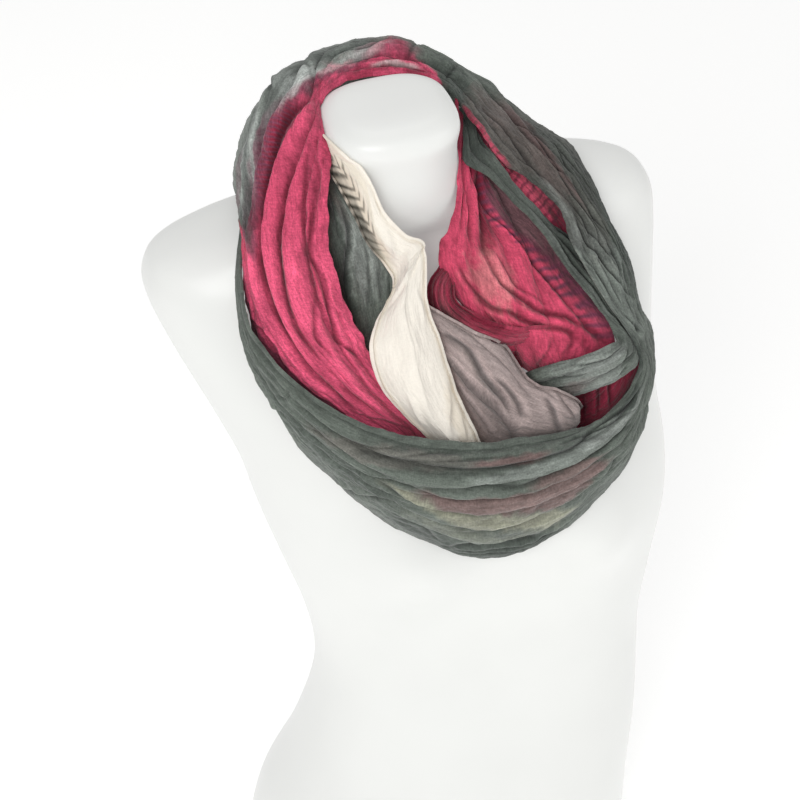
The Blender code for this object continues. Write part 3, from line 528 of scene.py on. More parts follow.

# Dyes, painted shade and painted light that lie over a stretch's main dye, in bands between two edges. Each
# band is its colour, its strength, how soft its edges are and its knots: section number, and how far across
# its two edges lie. The band "comb" is where the dye ends in comb marks.
FAR = 130                   # well past an edge of the cloth
LOOP_BANDS = [
    # dye, strength, softness, knots
    # the tail, the left of the hood and the nape
    ("cerise", 1, 3, (0, -FAR, 95), (2, -FAR, 92), (3, -FAR, 88), (3.5, -FAR, 92), (4, -FAR, FAR),
        (5.2, -FAR, FAR), (5.35, -FAR, 81), (5.75, -FAR, 66), (6.1, -FAR, 60), (6.5, -FAR, 52),
        (6.9, -FAR, 44), (7.3, -FAR, 36), (7.6, -FAR, 27), (7.8, -FAR, 21), (8.2, -FAR, 13),
        (8.8, -FAR, 17), (9.1, -FAR, 14), (9.4, -FAR, 13), (9.7, -FAR, 21), (10, -FAR, 30),
        (10.3, -FAR, 22), (10.6, -FAR, 14), (11, -FAR, 7), (11.3, -FAR, -8)),
    ("wine", 0.42, 12, (5.2, -FAR, 50), (6.2, -FAR, 46), (7, -FAR, 34), (7.8, -FAR, 20), (8.6, -FAR, 15),
        (9.4, -FAR, 12), (10, -FAR, 28), (10.6, -FAR, 14), (11.2, -FAR, -5)),
    ("umber", 0.5, 3, (9.6, 18, 26), (9.9, 24, FAR), (10.2, 20, FAR), (10.5, 14, 40)),
    ("violet", 0.6, 4, (9.3, 11, 20), (9.7, 14, 30), (10.1, 18, 36), (10.5, 12, 24)),
    ("violet", 0.85, 5, (5, 70, 90), (5.4, 62, 86), (5.8, 52, 74), (6.1, 47, 67), (6.5, 38, 59),
        (6.9, 30, 50), (7.3, 24, 42), (7.6, 17, 33), (7.9, 11, 22), (8.4, 8, 15), (9, 6, 11),
        (9.6, 10, 14)),
    ("violet", 0.8, 3.5, (1.4, 84, FAR), (2, 78, FAR), (2.6, 76, FAR), (3.2, 78, FAR), (3.8, 83, FAR),
        (4.4, 90, FAR)),
    ("green", 0.75, 3, (1.4, 92, FAR), (2, 85, FAR), (2.6, 83, FAR), (3.2, 85, FAR), (3.8, 91, FAR)),
    ("violet", 0.8, 3, (4.8, 57, 62), (5.1, 55, 70), (5.4, 53, 78), (5.7, 50, 80)),
    # painted shade: a dark streak beside the violet band
    ("deep", 0.75, 2.5, (5.05, 60, 64), (5.3, 58, 74), (5.6, 58, 86), (5.9, 60, 95)),
    ("crimson", 0.85, 2.5, (4.8, 70, FAR), (5.1, 75, FAR), (5.3, 80, FAR), (5.5, 90, FAR)),
    ("wine", 0.85, 3, (5.4, 51, 66), (5.8, 46, 58), (6.2, 40, 52), (6.6, 31, 45), (7, 23, 36),
        (7.5, 14, 25)),
    ("violet", 0.45, 6, (5.4, 50, 68), (5.8, 44, 60), (6.2, 38, 54), (6.6, 29, 46), (7, 22, 37),
        (7.5, 13, 26)),
    # painted shade: a broad shadow on the crimson low on the left
    ("wine", 0.4, 6, (1, 0, 40), (1.4, 10, 50), (2, 38, 60), (2.5, 42, 52), (3.2, 44, 50)),
    # painted light where the gauze is thin, over the top of the hood and at the nape
    ("sheer", 0.2, 8, (5.6, 64, 90), (6, 52, FAR), (7, 44, FAR), (8, 16, FAR), (9, 12, FAR), (9.9, 20, 50)),
    ("sheer", 0.5, 3, (7.4, 24, 30), (7.7, 18, 34), (8.3, 16, 30), (8.5, 14, 20)),
    ("sheer", 0.36, 2.5, (8.5, 12, 18), (9, 10, 17), (9.6, 14, 20), (9.9, 20, 26)),
    ("sheer", 0.26, 3.5, (5.8, 74, 90), (6.3, 62, 86), (7, 54, 76), (7.4, 50, 62)),
    ("sheer", 0.3, 2.5, (6.6, 42, 46), (7, 36, 44), (7.4, 34, 40)),
    ("wine", 0.65, 2, (9, -FAR, 3), (9.6, 2, 6), (10.2, 4, 9), (10.8, -FAR, 5)),
    # painted shade along a fold
    ("deep", 0.55, 2, (5.8, 66, 74), (6.4, 62, 70), (7, 56, 64), (7.5, 50, 60)),
    # painted highlights beside that fold
    ("sheer", 0.55, 1.5, (5.9, 60, 64), (6.4, 54, 58), (6.9, 50, 54), (7.3, 47, 50)),
    ("sheer", 0.45, 1.5, (5.9, 80, 84), (6.5, 74, 78), (7.1, 66, 70), (7.5, 60, 63)),
    ("violet", 0.55, 4, (5.4, 56, 64), (5.8, 51, 62), (6.2, 47, 57), (6.7, 42, 50), (7.1, 36, 44)),
    ("violet", 0.45, 2, (5.8, 88, 96), (6.4, 80, 90), (7, 72, 80)),
    # painted light where the gauze is thin
    ("sheer", 0.32, 4, (7.7, 24, 40), (8, 20, 50), (8.3, 18, 34), (8.45, 18, 26)),
    ("wine", 0.5, 3, (9.7, 16, 24), (10, 24, 34), (10.3, 14, 24)),
    # painted shade across the top of the hood
    ("deep", 0.5, 3, (7.3, 36, 44), (7.8, 38, 50), (8.4, 32, 44), (9, 22, 40), (9.8, 30, 50)),
    # painted shade in a crimson crease
    ("wine", 0.85, 1.8, (5.6, 47, 50), (6, 41, 45), (6.4, 33, 38), (6.9, 24, 30), (7.4, 15, 20)),
    # painted shade in three crimson creases
    ("wine", 0.6, 1.5, (3, 6, 10), (3.4, 15, 18), (4, 10, 13), (5, 10, 13), (5.6, 6, 9)),
    ("wine", 0.6, 1.5, (3.4, 41, 44), (4.3, 35, 38), (5.2, 32, 35), (6, 23, 26)),
    ("wine", 0.6, 2, (3.2, 52, 56), (3.7, 50, 54), (4.2, 54, 57), (5, 53, 58)),
    # painted highlight streaks at the nape
    ("sheer", 0.55, 1.5, (9.6, 6, 8), (10.1, 7, 10), (10.6, 6, 8)),
    # painted shade in the crease at the top of the hood
    ("deep", 0.8, 2, (7.75, 43, 46), (7.95, 46, 54), (8.1, 52, 60)),
    ("comb", 0.46, 6, (5.8, 44, 54), (6.2, 38, 54), (6.6, 29, 48), (7.1, 21, 40), (7.5, 14, 28)),
    # the right of the hood
    # painted shade beside the neck at the nape
    ("deep", 0.6, 5, (11, 10, 30), (11.5, -FAR, 30), (12, -FAR, 22), (12.5, -FAR, 10)),
    ("umber", 0.7, 10, (12.3, -FAR, 30), (13, -FAR, 48), (13.6, -FAR, 48), (14.2, 4, 40), (14.8, 10, 28),
        (15.1, 14, 20)),
    ("rose", 0.5, 12, (12.7, 8, 30), (13.2, 4, 40), (13.6, 10, 36)),
    ("rose", 0.5, 10, (13.8, 14, 40), (14.3, 12, 32), (14.8, 14, 26)),
    ("umber", 0.35, 9, (12.6, -FAR, FAR), (14, -FAR, FAR), (15.2, -FAR, 70), (16, 10, 40)),
    ("wine", 0.3, 5, (12.8, 30, 50), (13.4, 40, 60), (14.2, 36, 52), (15, 30, 44)),
    # painted shade over the right of the hood and along its outer part
    ("deep", 0.5, 9, (12.2, -FAR, FAR), (14, -FAR, FAR), (15.4, -FAR, FAR), (16.2, 48, FAR), (17, 70, FAR)),
    ("deep", 0.45, 5, (13.5, 50, 80), (14.2, 52, 95), (15.2, 66, FAR), (16.4, 70, FAR)),
    # painted light through thin gauze on the right of the hood, then a thin painted highlight by its inner
    # edge
    ("sheer", 0.09, 8, (15.4, 10, 44), (16.2, -FAR, 60), (17.6, -FAR, 60)),
    ("sheer", 0.15, 4, (14.4, 3, 10), (15, 3, 13), (15.8, 3, 10)),
    ("crimson", 0.85, 1.5, (12.3, -FAR, -2), (12.7, -FAR, -4), (13.1, -FAR, -7), (13.5, -FAR, -11),
        (13.75, -FAR, -12)),
    ("wine", 0.55, 1.5, (12.3, -FAR, -1), (12.8, -FAR, -3), (13.2, -FAR, -8)),
    ("comb", 0.26, 2, (12.5, -FAR, -3), (13.1, -FAR, -7), (13.7, -FAR, -11)),
    # the front drape
    # painted light through thin gauze on the drape
    ("sheer", 0.18, 3, (19.6, 10, 26), (20.2, 8, 27), (20.8, 21, 33), (21.5, 24, 33), (22.1, 26, 32)),
    ("umber", 0.38, 5, (22, 13, 20), (22.5, 9, 22), (23, 10, 26), (23.5, 13, 34), (24, 24, 42),
        (24.4, 34, 44)),
    # painted shade in the drape's folds
    ("deep", 0.35, 4, (23, 56, 66), (23.6, 50, 70), (24.4, 46, 66), (25.2, 40, 60)),
    ("rose", 0.75, 3, (21.15, 14, 20), (21.4, 13, 22), (21.75, 13, 20), (22.1, 15, 19)),
    ("rose", 0.55, 3.5, (20.35, 36, 40), (20.6, 34, 42), (21, 36, 45), (21.4, 39, 44)),
    ("rose", 0.62, 4, (20.3, 46, 50), (20.6, 44, 60), (21, 44, 70), (21.3, 46, 68), (21.6, 45, 63),
        (22, 44, 59), (22.4, 45, 55), (22.8, 43, 49)),
    ("straw", 0.5, 4, (20.9, 78, 84), (21.1, 74, 90), (21.4, 68, 82), (21.8, 61, 75), (22.2, 60, 70),
        (22.5, 54, 63), (22.9, 47, 53), (23.2, 46, 50)),
    ("straw", 0.14, 4, (21.1, 84, 90), (21.6, 82, 87), (22.3, 74, 82), (22.8, 66, 74)),
    # painted shade under the fold below the drape's inner rim
    ("deep", 0.32, 3, (20.5, 9, 14), (21, 13, 20), (22, 14, 20), (23, 16, 23), (23.7, 22, 32)),
    # painted shade along the drape's outer edge
    ("deep", 0.55, 3, (21.1, 92, FAR), (21.6, 88, 96), (22.2, 88, FAR), (22.6, 83, 97), (23, 78, 90)),
    # painted shade in the crease near the pinched corner
    ("deep", 0.7, 3, (19, 8, 22), (19.4, 6, 22), (19.8, 3, 10)),
    # painted shade at the pinched corner
    ("deep", 0.8, 3, (17.9, -FAR, 6), (18.3, -FAR, 8), (18.7, -FAR, 4)),
    # painted light through thin gauze by the drape's inner rim
    ("sheer", 0.22, 2, (18.9, 24, 32), (19.5, 20, 28), (20.1, 14, 22), (20.6, 16, 24)),
    # the second turn
    # painted shadow over the top of the strand right of the neck
    ("deep", 0.6, 4, (33.2, -FAR, FAR), (34.9, -FAR, FAR), (35.4, -FAR, 60)),
    # painted shade in the crease along the strand's outer part
    ("deep", 0.75, 4, (37.1, 74, 100), (37.6, 80, FAR), (38.1, 84, FAR), (38.6, 92, FAR)),
    # painted light through thin gauze on the crossing strand and on the strand right of the neck
    ("sheer", 0.2, 6, (40.8, 10, 60), (41.4, -FAR, FAR), (42.8, -FAR, FAR)),
    ("sheer", 0.2, 2, (40.2, 24, 36), (41, 26, 40), (42, 28, 40)),
    ("sheer", 0.16, 2.5, (36.8, 34, 44), (37.6, 28, 40), (38.6, 34, 46), (39.4, 38, 50)),
    ("rose", 0.35, 4, (42, 55, 80), (42.5, 55, 95), (42.9, 60, 90)),
    # painted shade over the strand
    ("deep", 0.3, 8, (34.6, -FAR, FAR), (36, -FAR, FAR), (38.6, -FAR, FAR)),
]
RIGHT_CRIMSON_BANDS = [
    ("wine", 0.22, 8, (0, -FAR, FAR), (7, -FAR, FAR)),
    # painted shade over the tucked start and down a dark valley
    ("wine", 0.85, 4, (0, -FAR, FAR), (0.9, -FAR, FAR), (1.15, 10, FAR), (1.4, 50, FAR), (1.8, 54, 84),
        (2.1, 46, 62), (2.5, 36, 52), (3, 28, 42), (3.4, 27, 33)),
    ("violet", 0.88, 7, (1.4, 78, FAR), (1.8, 70, FAR), (2.2, 66, FAR), (2.8, 75, FAR), (3.4, 85, FAR),
        (4, 92, FAR), (5, 98, FAR), (5.8, 100, FAR)),
    ("umber", 0.45, 7, (1.2, 84, FAR), (1.8, 78, FAR), (2.3, 74, FAR), (3, 86, FAR), (3.6, 97, FAR)),
    ("beige", 0.22, 14, (3, 30, 38), (3.5, 20, 50), (4, 12, 45), (4.5, 14, 38), (4.9, 20, 30)),
    ("wine", 0.5, 4, (4.3, 60, 72), (4.6, 72, 82), (5.2, 80, 100), (5.6, 90, FAR), (7, 90, FAR)),
    ("comb", 0.68, 6, (1.4, 62, 82), (2.2, 52, 69), (2.8, 64, 81), (3.4, 75, 93), (4, 82, 102),
        (5.2, 88, 110)),
]
SLIT_CRIMSON_BANDS = [
    # painted light: the strip made brighter where light falls on it as it bulges up
    ("coral", 0.8, 4, (1, -FAR, FAR), (3.4, -FAR, FAR)),
    ("violet", 0.6, 4, (0, -FAR, FAR), (0.8, -FAR, FAR), (1.2, 50, FAR), (1.5, 90, FAR)),
    # painted shadow where the strip runs in at its end
    ("wine", 0.75, 3, (3.3, 55, FAR), (3.6, 30, FAR), (4, -FAR, FAR)),
    ("comb", 0.34, 4, (1, 10, 90), (2, 10, 90), (3, 15, 90), (3.8, 20, 90)),
]
CRIMSON_GATHERS_BANDS = [
    ("crimson", 0.45, 5, (3.6, 30, 60), (4.2, -FAR, FAR), (5, -FAR, FAR)),
    ("crimson", 0.22, 4, (0.4, 5, 50), (1.2, 5, 80), (2.2, 10, 35), (3.4, 20, 40)),
    ("umber", 0.2, 5, (1.4, 30, 60), (2.4, 30, 90), (3.2, 40, 90), (4, 50, 80)),
    # painted shade in the gaps between the pleats
    ("deep", 0.32, 2, (0.4, 50, 58), (1.6, 52, 62), (2.6, 47, 57), (3.8, 50, 58)),
    ("deep", 0.28, 2, (0.8, 22, 30), (1.8, 26, 34), (2.8, 22, 30), (3.6, 24, 32)),
    # painted highlights on the pleats' crests
    ("coral", 0.4, 1.2, (0.6, 40, 44), (1.6, 42, 46), (2.6, 38, 42), (3.6, 40, 44)),
    ("coral", 0.4, 1.2, (0.6, 64, 68), (1.6, 68, 72), (2.6, 62, 66), (3.4, 64, 68)),
    ("rose", 0.3, 3, (2, 45, 60), (2.6, 42, 60), (3.4, 48, 62)),
]
WHITE_BANDS = [
    # painted shade, tan on the white cloth
    ("tan", 0.35, 4, (0, -FAR, FAR), (2.2, 10, FAR), (3.2, 25, FAR), (4.2, 50, FAR), (5, 80, FAR)),
    ("tan", 0.4, 3, (0, 40, FAR), (2, 50, FAR), (4, 60, FAR), (5, 80, FAR)),
    ("umber", 0.35, 5, (1.2, 90, FAR), (2, 80, FAR), (3, 76, FAR), (4.2, 84, FAR)),
    # painted shade along the white's left edge
    ("deep", 0.6, 3, (3, 86, FAR), (3.6, 70, FAR), (4.1, 72, FAR), (4.6, 86, FAR)),
    # painted shade on the white's turned-back strip
    ("tan", 0.4, 5, (9.2, 0, 10), (10, 4, 24), (10.8, 10, 40), (12, 10, 40)),
    ("comb", 0.4, 6, (1.2, 74, FAR), (1.6, 52, FAR), (2.2, 48, FAR), (3, 52, FAR), (3.5, 50, FAR),
        (4, 56, FAR), (4.5, 70, FAR)),
    ("comb", 0.66, 6, (1.3, 95, FAR), (1.7, 78, FAR), (2.2, 72, FAR), (2.8, 74, FAR), (3.3, 72, FAR),
        (3.9, 74, FAR), (4.3, 86, FAR)),
]
TAUPE_BANDS = [
    # painted shade along the fold valleys and over the tucked end
    ("deep", 0.3, 4, (0.5, 36, 46), (1, 28, 40), (1.8, 46, 58), (2.7, 53, 62)),
    ("deep", 0.25, 4, (0.7, 64, 74), (1.7, 66, 76), (2.7, 66, 74), (3.6, 80, 94)),
    ("deep", 0.35, 5, (4.4, 45, 80), (4.8, 25, FAR), (6, -FAR, FAR)),
]
GREEN_INNER_BANDS = [
    ("umber", 0.5, 4, (0.4, 30, 50), (1, 26, 50), (1.6, 30, 42)),
    # painted shade over the outer part and the end
    ("deep", 0.5, 3, (0.6, 50, 70), (1.2, 56, 80), (2, 62, 90), (2.6, 70, 96), (3.4, 75, FAR),
        (4.4, 70, FAR), (6, -FAR, FAR)),
    # painted light through thin gauze
    ("sheer", 0.34, 6, (1.2, 20, 50), (2.4, 16, 66), (3.4, 12, 66)),
]
BAND_END = 4                # how much softer a band's ends are than twice its edges
# How a band's edges wander.
BLURS = [
    # share (of the softness) long wide seed
    (0.9, 14, 9, 31),
    (0.6, 5, 4, 32),
]

# What is drawn on the cloth of each table.
DRAWN = [
    # table, creases, bands
    (LOOP, LOOP_CREASES, LOOP_BANDS),
    (RIGHT_CRIMSON, RIGHT_CRIMSON_CREASES, RIGHT_CRIMSON_BANDS),
    (SLIT_CRIMSON, SLIT_CRIMSON_CREASES, SLIT_CRIMSON_BANDS),
    (CRIMSON_GATHERS, CRIMSON_GATHERS_CREASES, CRIMSON_GATHERS_BANDS),
    (CRIMSON_TUCK, CRIMSON_TUCK_CREASES, []),
    (WHITE, WHITE_CREASES, WHITE_BANDS),
    (TAUPE, TAUPE_CREASES, TAUPE_BANDS),
    (GREEN_INNER, GREEN_INNER_CREASES, GREEN_INNER_BANDS),
]

# Wrinkles of the gauze: how long and how wide each kind is, how high, how far it wanders sideways.
WRINKLES = [
    # long wide height wander seed
    (60, 12, 0.95, 16, 11),
    (26, 6.5, 0.75, 9, 12),
    (10, 3.8, 0.5, 5, 13),
]
# The patterns by which wrinkles wander and die out, in lengths and widths of a wrinkle.
WANDER = {"long": 0.8, "wide": 4, "seed": 50}
STRENGTH = {"long": 0.7, "wide": 3, "seed": 80, "mean": 0.6, "swing": 0.6, "least": 0.1, "most": 1.3}
# The crushed look of the gauze: sharp small ridges that run every way.
CRUSHES = [
    # size height seed
    (15, 0.3, 41),
    (7, 0.16, 42),
]
CRUSH_SHARP = 2.4       # how far the ridges fall away to their sides, in their own heights
CRUSH_WIDE = 0.7        # how wide the pattern of ridges is for its length
LUMPS = {"size": 28, "height": 2.0, "seed": 17}     # the soft unevenness of cloth that stands on its own
TABLES_APART = 500      # how far apart in the wrinkles' pattern the cloths of two tables lie
GATHERED = 0.45         # cloth gathered to less than this share of its width has calmer wrinkles
CALMEST = 0.35          # the share of them that is left at least

# Crests and troughs are told from a neighbourhood this wide, and are full ones this far above or below it.
# Crests get painted highlight and troughs get painted shade.
RELIEFS = [
    # reach scale
    (4.5, 0.8),
    (14, 2.2),
]
RELIEF_GAIN = 0.6       # how much each kind of neighbourhood counts
LATTICE = 64            # noise repeats after this many features
NOISE_GAIN = 1.5        # brings the noise to about -1 to 1


def through(points, at):
    """The smooth curve through rows of numbers, read at section numbers such as 2.5."""
    points = np.asarray(points, float)
    at = np.clip(np.asarray(at, float), 0, len(points) - 1)
    slopes = np.gradient(points, axis=0)
    low = np.minimum(at.astype(int), len(points) - 2)
    t = (at - low)[:, None]
    rise = 3 * t**2 - 2 * t**3
    leaving, arriving = t * (1 - t) ** 2, t**2 * (t - 1)
    curve = points[low] * (1 - rise) + points[low + 1] * rise
    return curve + slopes[low] * leaving + slopes[low + 1] * arriving


def noise(x, y, seed):
    """Smooth noise from about -1 to 1 over a plane, with features about one unit wide."""
    turns = np.random.default_rng(seed).uniform(0, 2 * math.pi, (LATTICE, LATTICE))
    low_x, low_y = np.floor(x).astype(int), np.floor(y).astype(int)
    total = np.zeros_like(x)
    for corner_x in (0, 1):
        for corner_y in (0, 1):
            turn = turns[(low_x + corner_x) % LATTICE, (low_y + corner_y) % LATTICE]
            off_x, off_y = x - low_x - corner_x, y - low_y - corner_y
            fade = 1.0
            for off in (off_x, off_y):
                near = 1 - abs(off)
                fade = fade * near**3 * (6 * near**2 - 15 * near + 10)
            total += (np.cos(turn) * off_x + np.sin(turn) * off_y) * fade
    return total * NOISE_GAIN


def smooth(edge0, edge1, x):
    """0 below the first edge, 1 above the second and a smooth rise between."""
    t = np.clip((x - edge0) / (edge1 - edge0), 0, 1)
    return t * t * (3 - 2 * t)


def link(obj):
    """Puts an object into the scene and gives it back."""
    bpy.context.scene.collection.objects.link(obj)
    return obj


def mesh_object(name, points_mm, faces, normals=None):
    """A smooth mesh in the scene, from points in millimetres."""
    mesh = bpy.data.meshes.new(name)
    mesh.from_pydata((np.asarray(points_mm) * MM).tolist(), [], faces)
    mesh.validate()
    mesh.shade_smooth()
    if normals is not None:
        mesh.normals_split_custom_set_from_vertices(normals.tolist())
    return link(bpy.data.objects.new(name, mesh))


def grid_faces(rows, columns, closed=False):
    """The quads of a grid of points, which may close on itself across."""
    at = np.arange(rows * columns).reshape(rows, columns)
    if closed:
        at = np.hstack([at, at[:, :1]])
    quads = np.stack([at[:-1, :-1], at[1:, :-1], at[1:, 1:], at[:-1, 1:]], axis=-1)
    return quads.reshape(-1, 4).tolist()


# The dress form.


def form_ring(height, shift, half_width, front, back, squareness):
    """One ring of the dress form, with the two mounds of the bust on its front."""
    turn = np.linspace(0, 2 * math.pi, FORM_SEGMENTS, endpoint=False)
    c, s = np.cos(turn), np.sin(turn)
    middle, half_depth = (front + back) / 2, (back - front) / 2
    x = shift + half_width * np.copysign(abs(c) ** (2 / squareness), c)
    y = middle + half_depth * np.copysign(abs(s) ** (2 / squareness), s)
    rise = math.exp(-(((height - BUST["height"]) / BUST["tall"]) ** 2))
    for side in (-1, 1):
        off = (x - shift - side * BUST["apart"]) / BUST["wide"]
        y -= BUST["depth"] * rise * np.exp(-off * off) * np.clip(-BUST_FADE * s, 0, 1)
    return np.stack([x, y, np.full_like(x, height)], axis=1)


def dress_form():
    """The limbless form, from its flat base to its slightly domed cap."""
    table = np.array(FORM_RINGS, float)
    numbers = []
    for row in range(len(table) - 1):
        count = max(2, round((table[row + 1, 0] - table[row, 0]) / FORM_RING_STEP))
        numbers += [row + k / count for k in range(count)]
    rings = [form_ring(*row) for row in through(FORM_RINGS, numbers + [len(table) - 1.0])]
    top = rings[-1]
    middle = top.mean(axis=0)
    for share, lift in CAP_RINGS:
        rings.append(middle + (top - middle) * share + (0, 0, lift))
    points = np.concatenate(rings)
    faces = [face[::-1] for face in grid_faces(len(rings), FORM_SEGMENTS, closed=True)]
    last = (len(rings) - 1) * FORM_SEGMENTS
    faces.append(tuple(range(last, last + FORM_SEGMENTS)))
    faces.append(tuple(reversed(range(FORM_SEGMENTS))))
    obj = mesh_object("form_skin", points, faces)
    obj.data.set_sharp_from_angle(angle=math.radians(SHARP_EDGE))
    return obj


# The cloth.


def drawn_on(table):
    """The creases and the bands of dye on the cloth of a table, and the table's place among the others."""
    for place, (owner, creases, bands) in enumerate(DRAWN):
        if owner is table:
            return creases, bands, place


def lengths_along(table):
    """How far along the cloth each section of a table lies."""
    middles = np.array(table, float).reshape(len(table), 9)[:, 3:6]
    return np.concatenate([[0], np.cumsum(np.linalg.norm(np.diff(middles, axis=0), axis=1))])


def marks_at(table, numbers):
    """How far along the cloth section numbers such as 2.5 lie."""
    return np.interp(numbers, np.arange(len(table)), lengths_along(table))


def valley_rows(stretch, numbers):
    """The valley lines' shares across at each section number, with 0 as the first."""
    table = np.array(stretch.valleys, float)
    if stretch.valleys is HOOD_VALLEYS:
        columns = HOOD_AT
    elif stretch.valleys is DRAPE_VALLEYS:
        columns = DRAPE_AT
    else:
        columns = np.linspace(stretch.first, stretch.last, PLACES)
    lines = through(table[:, 1:].T / 100, np.interp(numbers, columns, np.arange(len(columns))))
    return np.hstack([np.zeros((len(numbers), 1)), lines])


def across_of(lines, steps):
    """The share of the way across at each fold step such as 2.5, the middle of the third fold."""
    fold = np.minimum(steps.astype(int), lines.shape[1] - 2)
    within = steps - fold
    return lines[:, fold] * (1 - within) + lines[:, fold + 1] * within


def arcs(table, numbers, across):
    """Points on the sections' arcs through inner edge, ridge and outer edge."""
    v = across[:, :, None]
    guides = through(np.array(table, float).reshape(len(table), 9), numbers).reshape(-1, 3, 3)
    inner, ridge, outer = (guides[:, None, k, :] for k in range(3))
    return inner * (2 * (v - 0.5) * (v - 1)) + ridge * (4 * v * (1 - v)) + outer * (2 * v * (v - 0.5))


def unit(vectors):
    return vectors / np.maximum(np.linalg.norm(vectors, axis=-1, keepdims=True), 1e-9)


def fold_heights(stretch, numbers, steps, flat):
    """How high the large folds stand, with narrow valleys and round crests that swell along the stretch."""
    count = len(stretch.valleys)
    at_lines = np.abs(steps[None, :] - np.arange(count + 1)[:, None]).argmin(axis=1)
    widths = np.linalg.norm(np.diff(flat[:, at_lines], axis=1), axis=2)
    depths = np.minimum([row[0] for row in stretch.valleys], widths**2 / NARROW_FOLD)
    if stretch.table is LOOP:
        away = np.min([abs(numbers - seam) for seam in FLAT_SEAMS], axis=0)
        share = np.minimum(1.0, away / FLATTENS_OVER) * np.interp(numbers, *zip(*FOLDS_ALONG))
        depths = depths * share[:, None]
    fold = np.minimum(steps.astype(int), count - 1)
    by_fold, by_section = np.meshgrid(fold * SWELL["apart"], numbers * SWELL["along"])
    swell = 1 + SWELL["share"] * noise(by_section, by_fold, SWELL["seed"])
    within = (steps - fold) ** CREST_SKEW
    within = np.where((fold == 0) & (within < 0.5) | (fold == count - 1) & (within > 0.5), 0.5, within)
    crest = np.sin(math.pi * within) ** CREST_ROUND
    return depths[:, fold] * swell * (crest - FOLD_FOOT)


def ruffle(marks, side):
    """How far an edge of the cloth wanders sideways along its length."""
    row = np.full_like(marks, RUFFLES_APART * side)
    return sum(far * noise(marks / long, row, seed) for long, far, seed in RUFFLES)


def wrinkle_heights(along, across):
    """Fine wrinkles that run along the cloth, wander and die out in places."""
    total = np.zeros_like(along)
    for long, wide, height, wander, seed in WRINKLES:
        drift, here = (
            noise(along / (long * pattern["long"]), across / (wide * pattern["wide"]), seed + pattern["seed"])
            for pattern in (WANDER, STRENGTH)
        )
        ridge = 1 - 2 * abs(noise(along / long, (across + wander * drift) / wide, seed))
        strength = STRENGTH["mean"] + STRENGTH["swing"] * here
        total += height * ridge * np.clip(strength, STRENGTH["least"], STRENGTH["most"])
    for size, height, seed in CRUSHES:
        total += height * (1 - CRUSH_SHARP * abs(noise(along / size, across / (CRUSH_WIDE * size), seed)))
    return total + LUMPS["height"] * noise(along / LUMPS["size"], across / LUMPS["size"], LUMPS["seed"])


def crease_heights(stretch, along, across):
    """How high the creases on a stretch lift it, and how far into a crease each point lies, up to 1, for
    painted crease shade.
    """
    total, crease_shade = np.zeros_like(along), np.zeros_like(along)
    creases, _, _ = drawn_on(stretch.table)
    for depth, width, *places in creases:
        numbers, hundredths = np.array(places, float).T
        marks = np.stack([marks_at(stretch.table, numbers), hundredths / 100 * stretch.cloth], axis=1)
        start, end = marks[:, 0].min() - CREASE_PAST, marks[:, 0].max() + CREASE_PAST
        near = (along[:, 0] > start) & (along[:, 0] < end)
        if near.any():
            lift, trough = crease(along[near], across[near], marks, depth, width)
            total[near] += lift
            # painted shade at the bottoms of creases
            crease_shade[near] = np.maximum(crease_shade[near], np.clip(depth / FULL_CREASE_SHADE, 0, 1) * trough)
    return total, crease_shade


def crease(along, across, marks, depth, width):
    """One trough along a smooth path through the marks, with a lip on its inner side, and how far into the
    trough each point lies, for painted shade.
    """
    path = through(marks, np.linspace(0, len(marks) - 1, PATH_STEPS * len(marks)))
    nearest = np.full(along.shape, 1e9)
    side = np.ones(along.shape)
    place = np.zeros(along.shape)
    for k in range(len(path) - 1):
        start, way = path[k], path[k + 1] - path[k]
        off_along, off_across = along - start[0], across - start[1]
        on = np.clip((off_along * way[0] + off_across * way[1]) / max(way @ way, 1e-9), 0, 1)
        gap = np.hypot(off_along - on * way[0], off_across - on * way[1])
        closer = gap < nearest
        nearest = np.where(closer, gap, nearest)
        turned = np.sign(way[0] * off_across - way[1] * off_along) * np.sign(way[0] + 1e-9)
        side = np.where(closer, turned, side)
        place = np.where(closer, (k + on) / (len(path) - 1), place)
    depth, width = CREASE_GAIN * depth, CREASE_SPREAD * width
    ends = np.sin(math.pi * np.clip(place, 0.01, 0.99)) ** CREASE_TIPS
    trough = np.exp(-((np.hypot(nearest, CREASE_ROUND) / width) ** CREASE_FALL))
    lip = LIP_HIGH * np.exp(-(((side * nearest + LIP_AT * width) / (LIP_WIDE * width)) ** 2))
    return ends * depth * (lip - trough), ends * trough


def blurred(heights, cells):
    """Heights averaged over neighbourhoods, `cells` wide along and across."""
    for axis in (0, 1):
        half = max(1, round(cells[axis] / 2))
        for _ in range(2):
            pad = [(half + 1, half) if k == axis else (0, 0) for k in (0, 1)]
            sums = np.cumsum(np.pad(heights, pad, mode="edge"), axis=axis)
            size = heights.shape[axis]
            high = np.take(sums, np.arange(size) + 2 * half + 1, axis=axis)
            low = np.take(sums, np.arange(size), axis=axis)
            heights = (high - low) / (2 * half + 1)
    return heights


def relief_of(heights, spacing):
    """How much of a crest, up to 1, or of a trough, down to -1, each point of the cloth is on, for painted
    highlight and shade.
    """
    relief = 0
    for reach, scale in RELIEFS:
        cells = (2 * reach / STEP_ALONG, reach / spacing)
        relief = relief + RELIEF_GAIN * np.tanh((heights - blurred(heights, cells)) / scale)
    return np.clip(relief, -1, 1)


def laid_on(skin, points):
    """The points, moved out where they come nearer to the skin than CLEAR."""
    flat = points.reshape(-1, 3)
    for k, point in enumerate(flat):
        near, normal, _, gap = skin.find_nearest(Vector(point))
        if gap < SKIN_REACH and (Vector(point) - near).dot(normal) < CLEAR:
            flat[k] = near + normal * CLEAR
    return flat.reshape(points.shape)


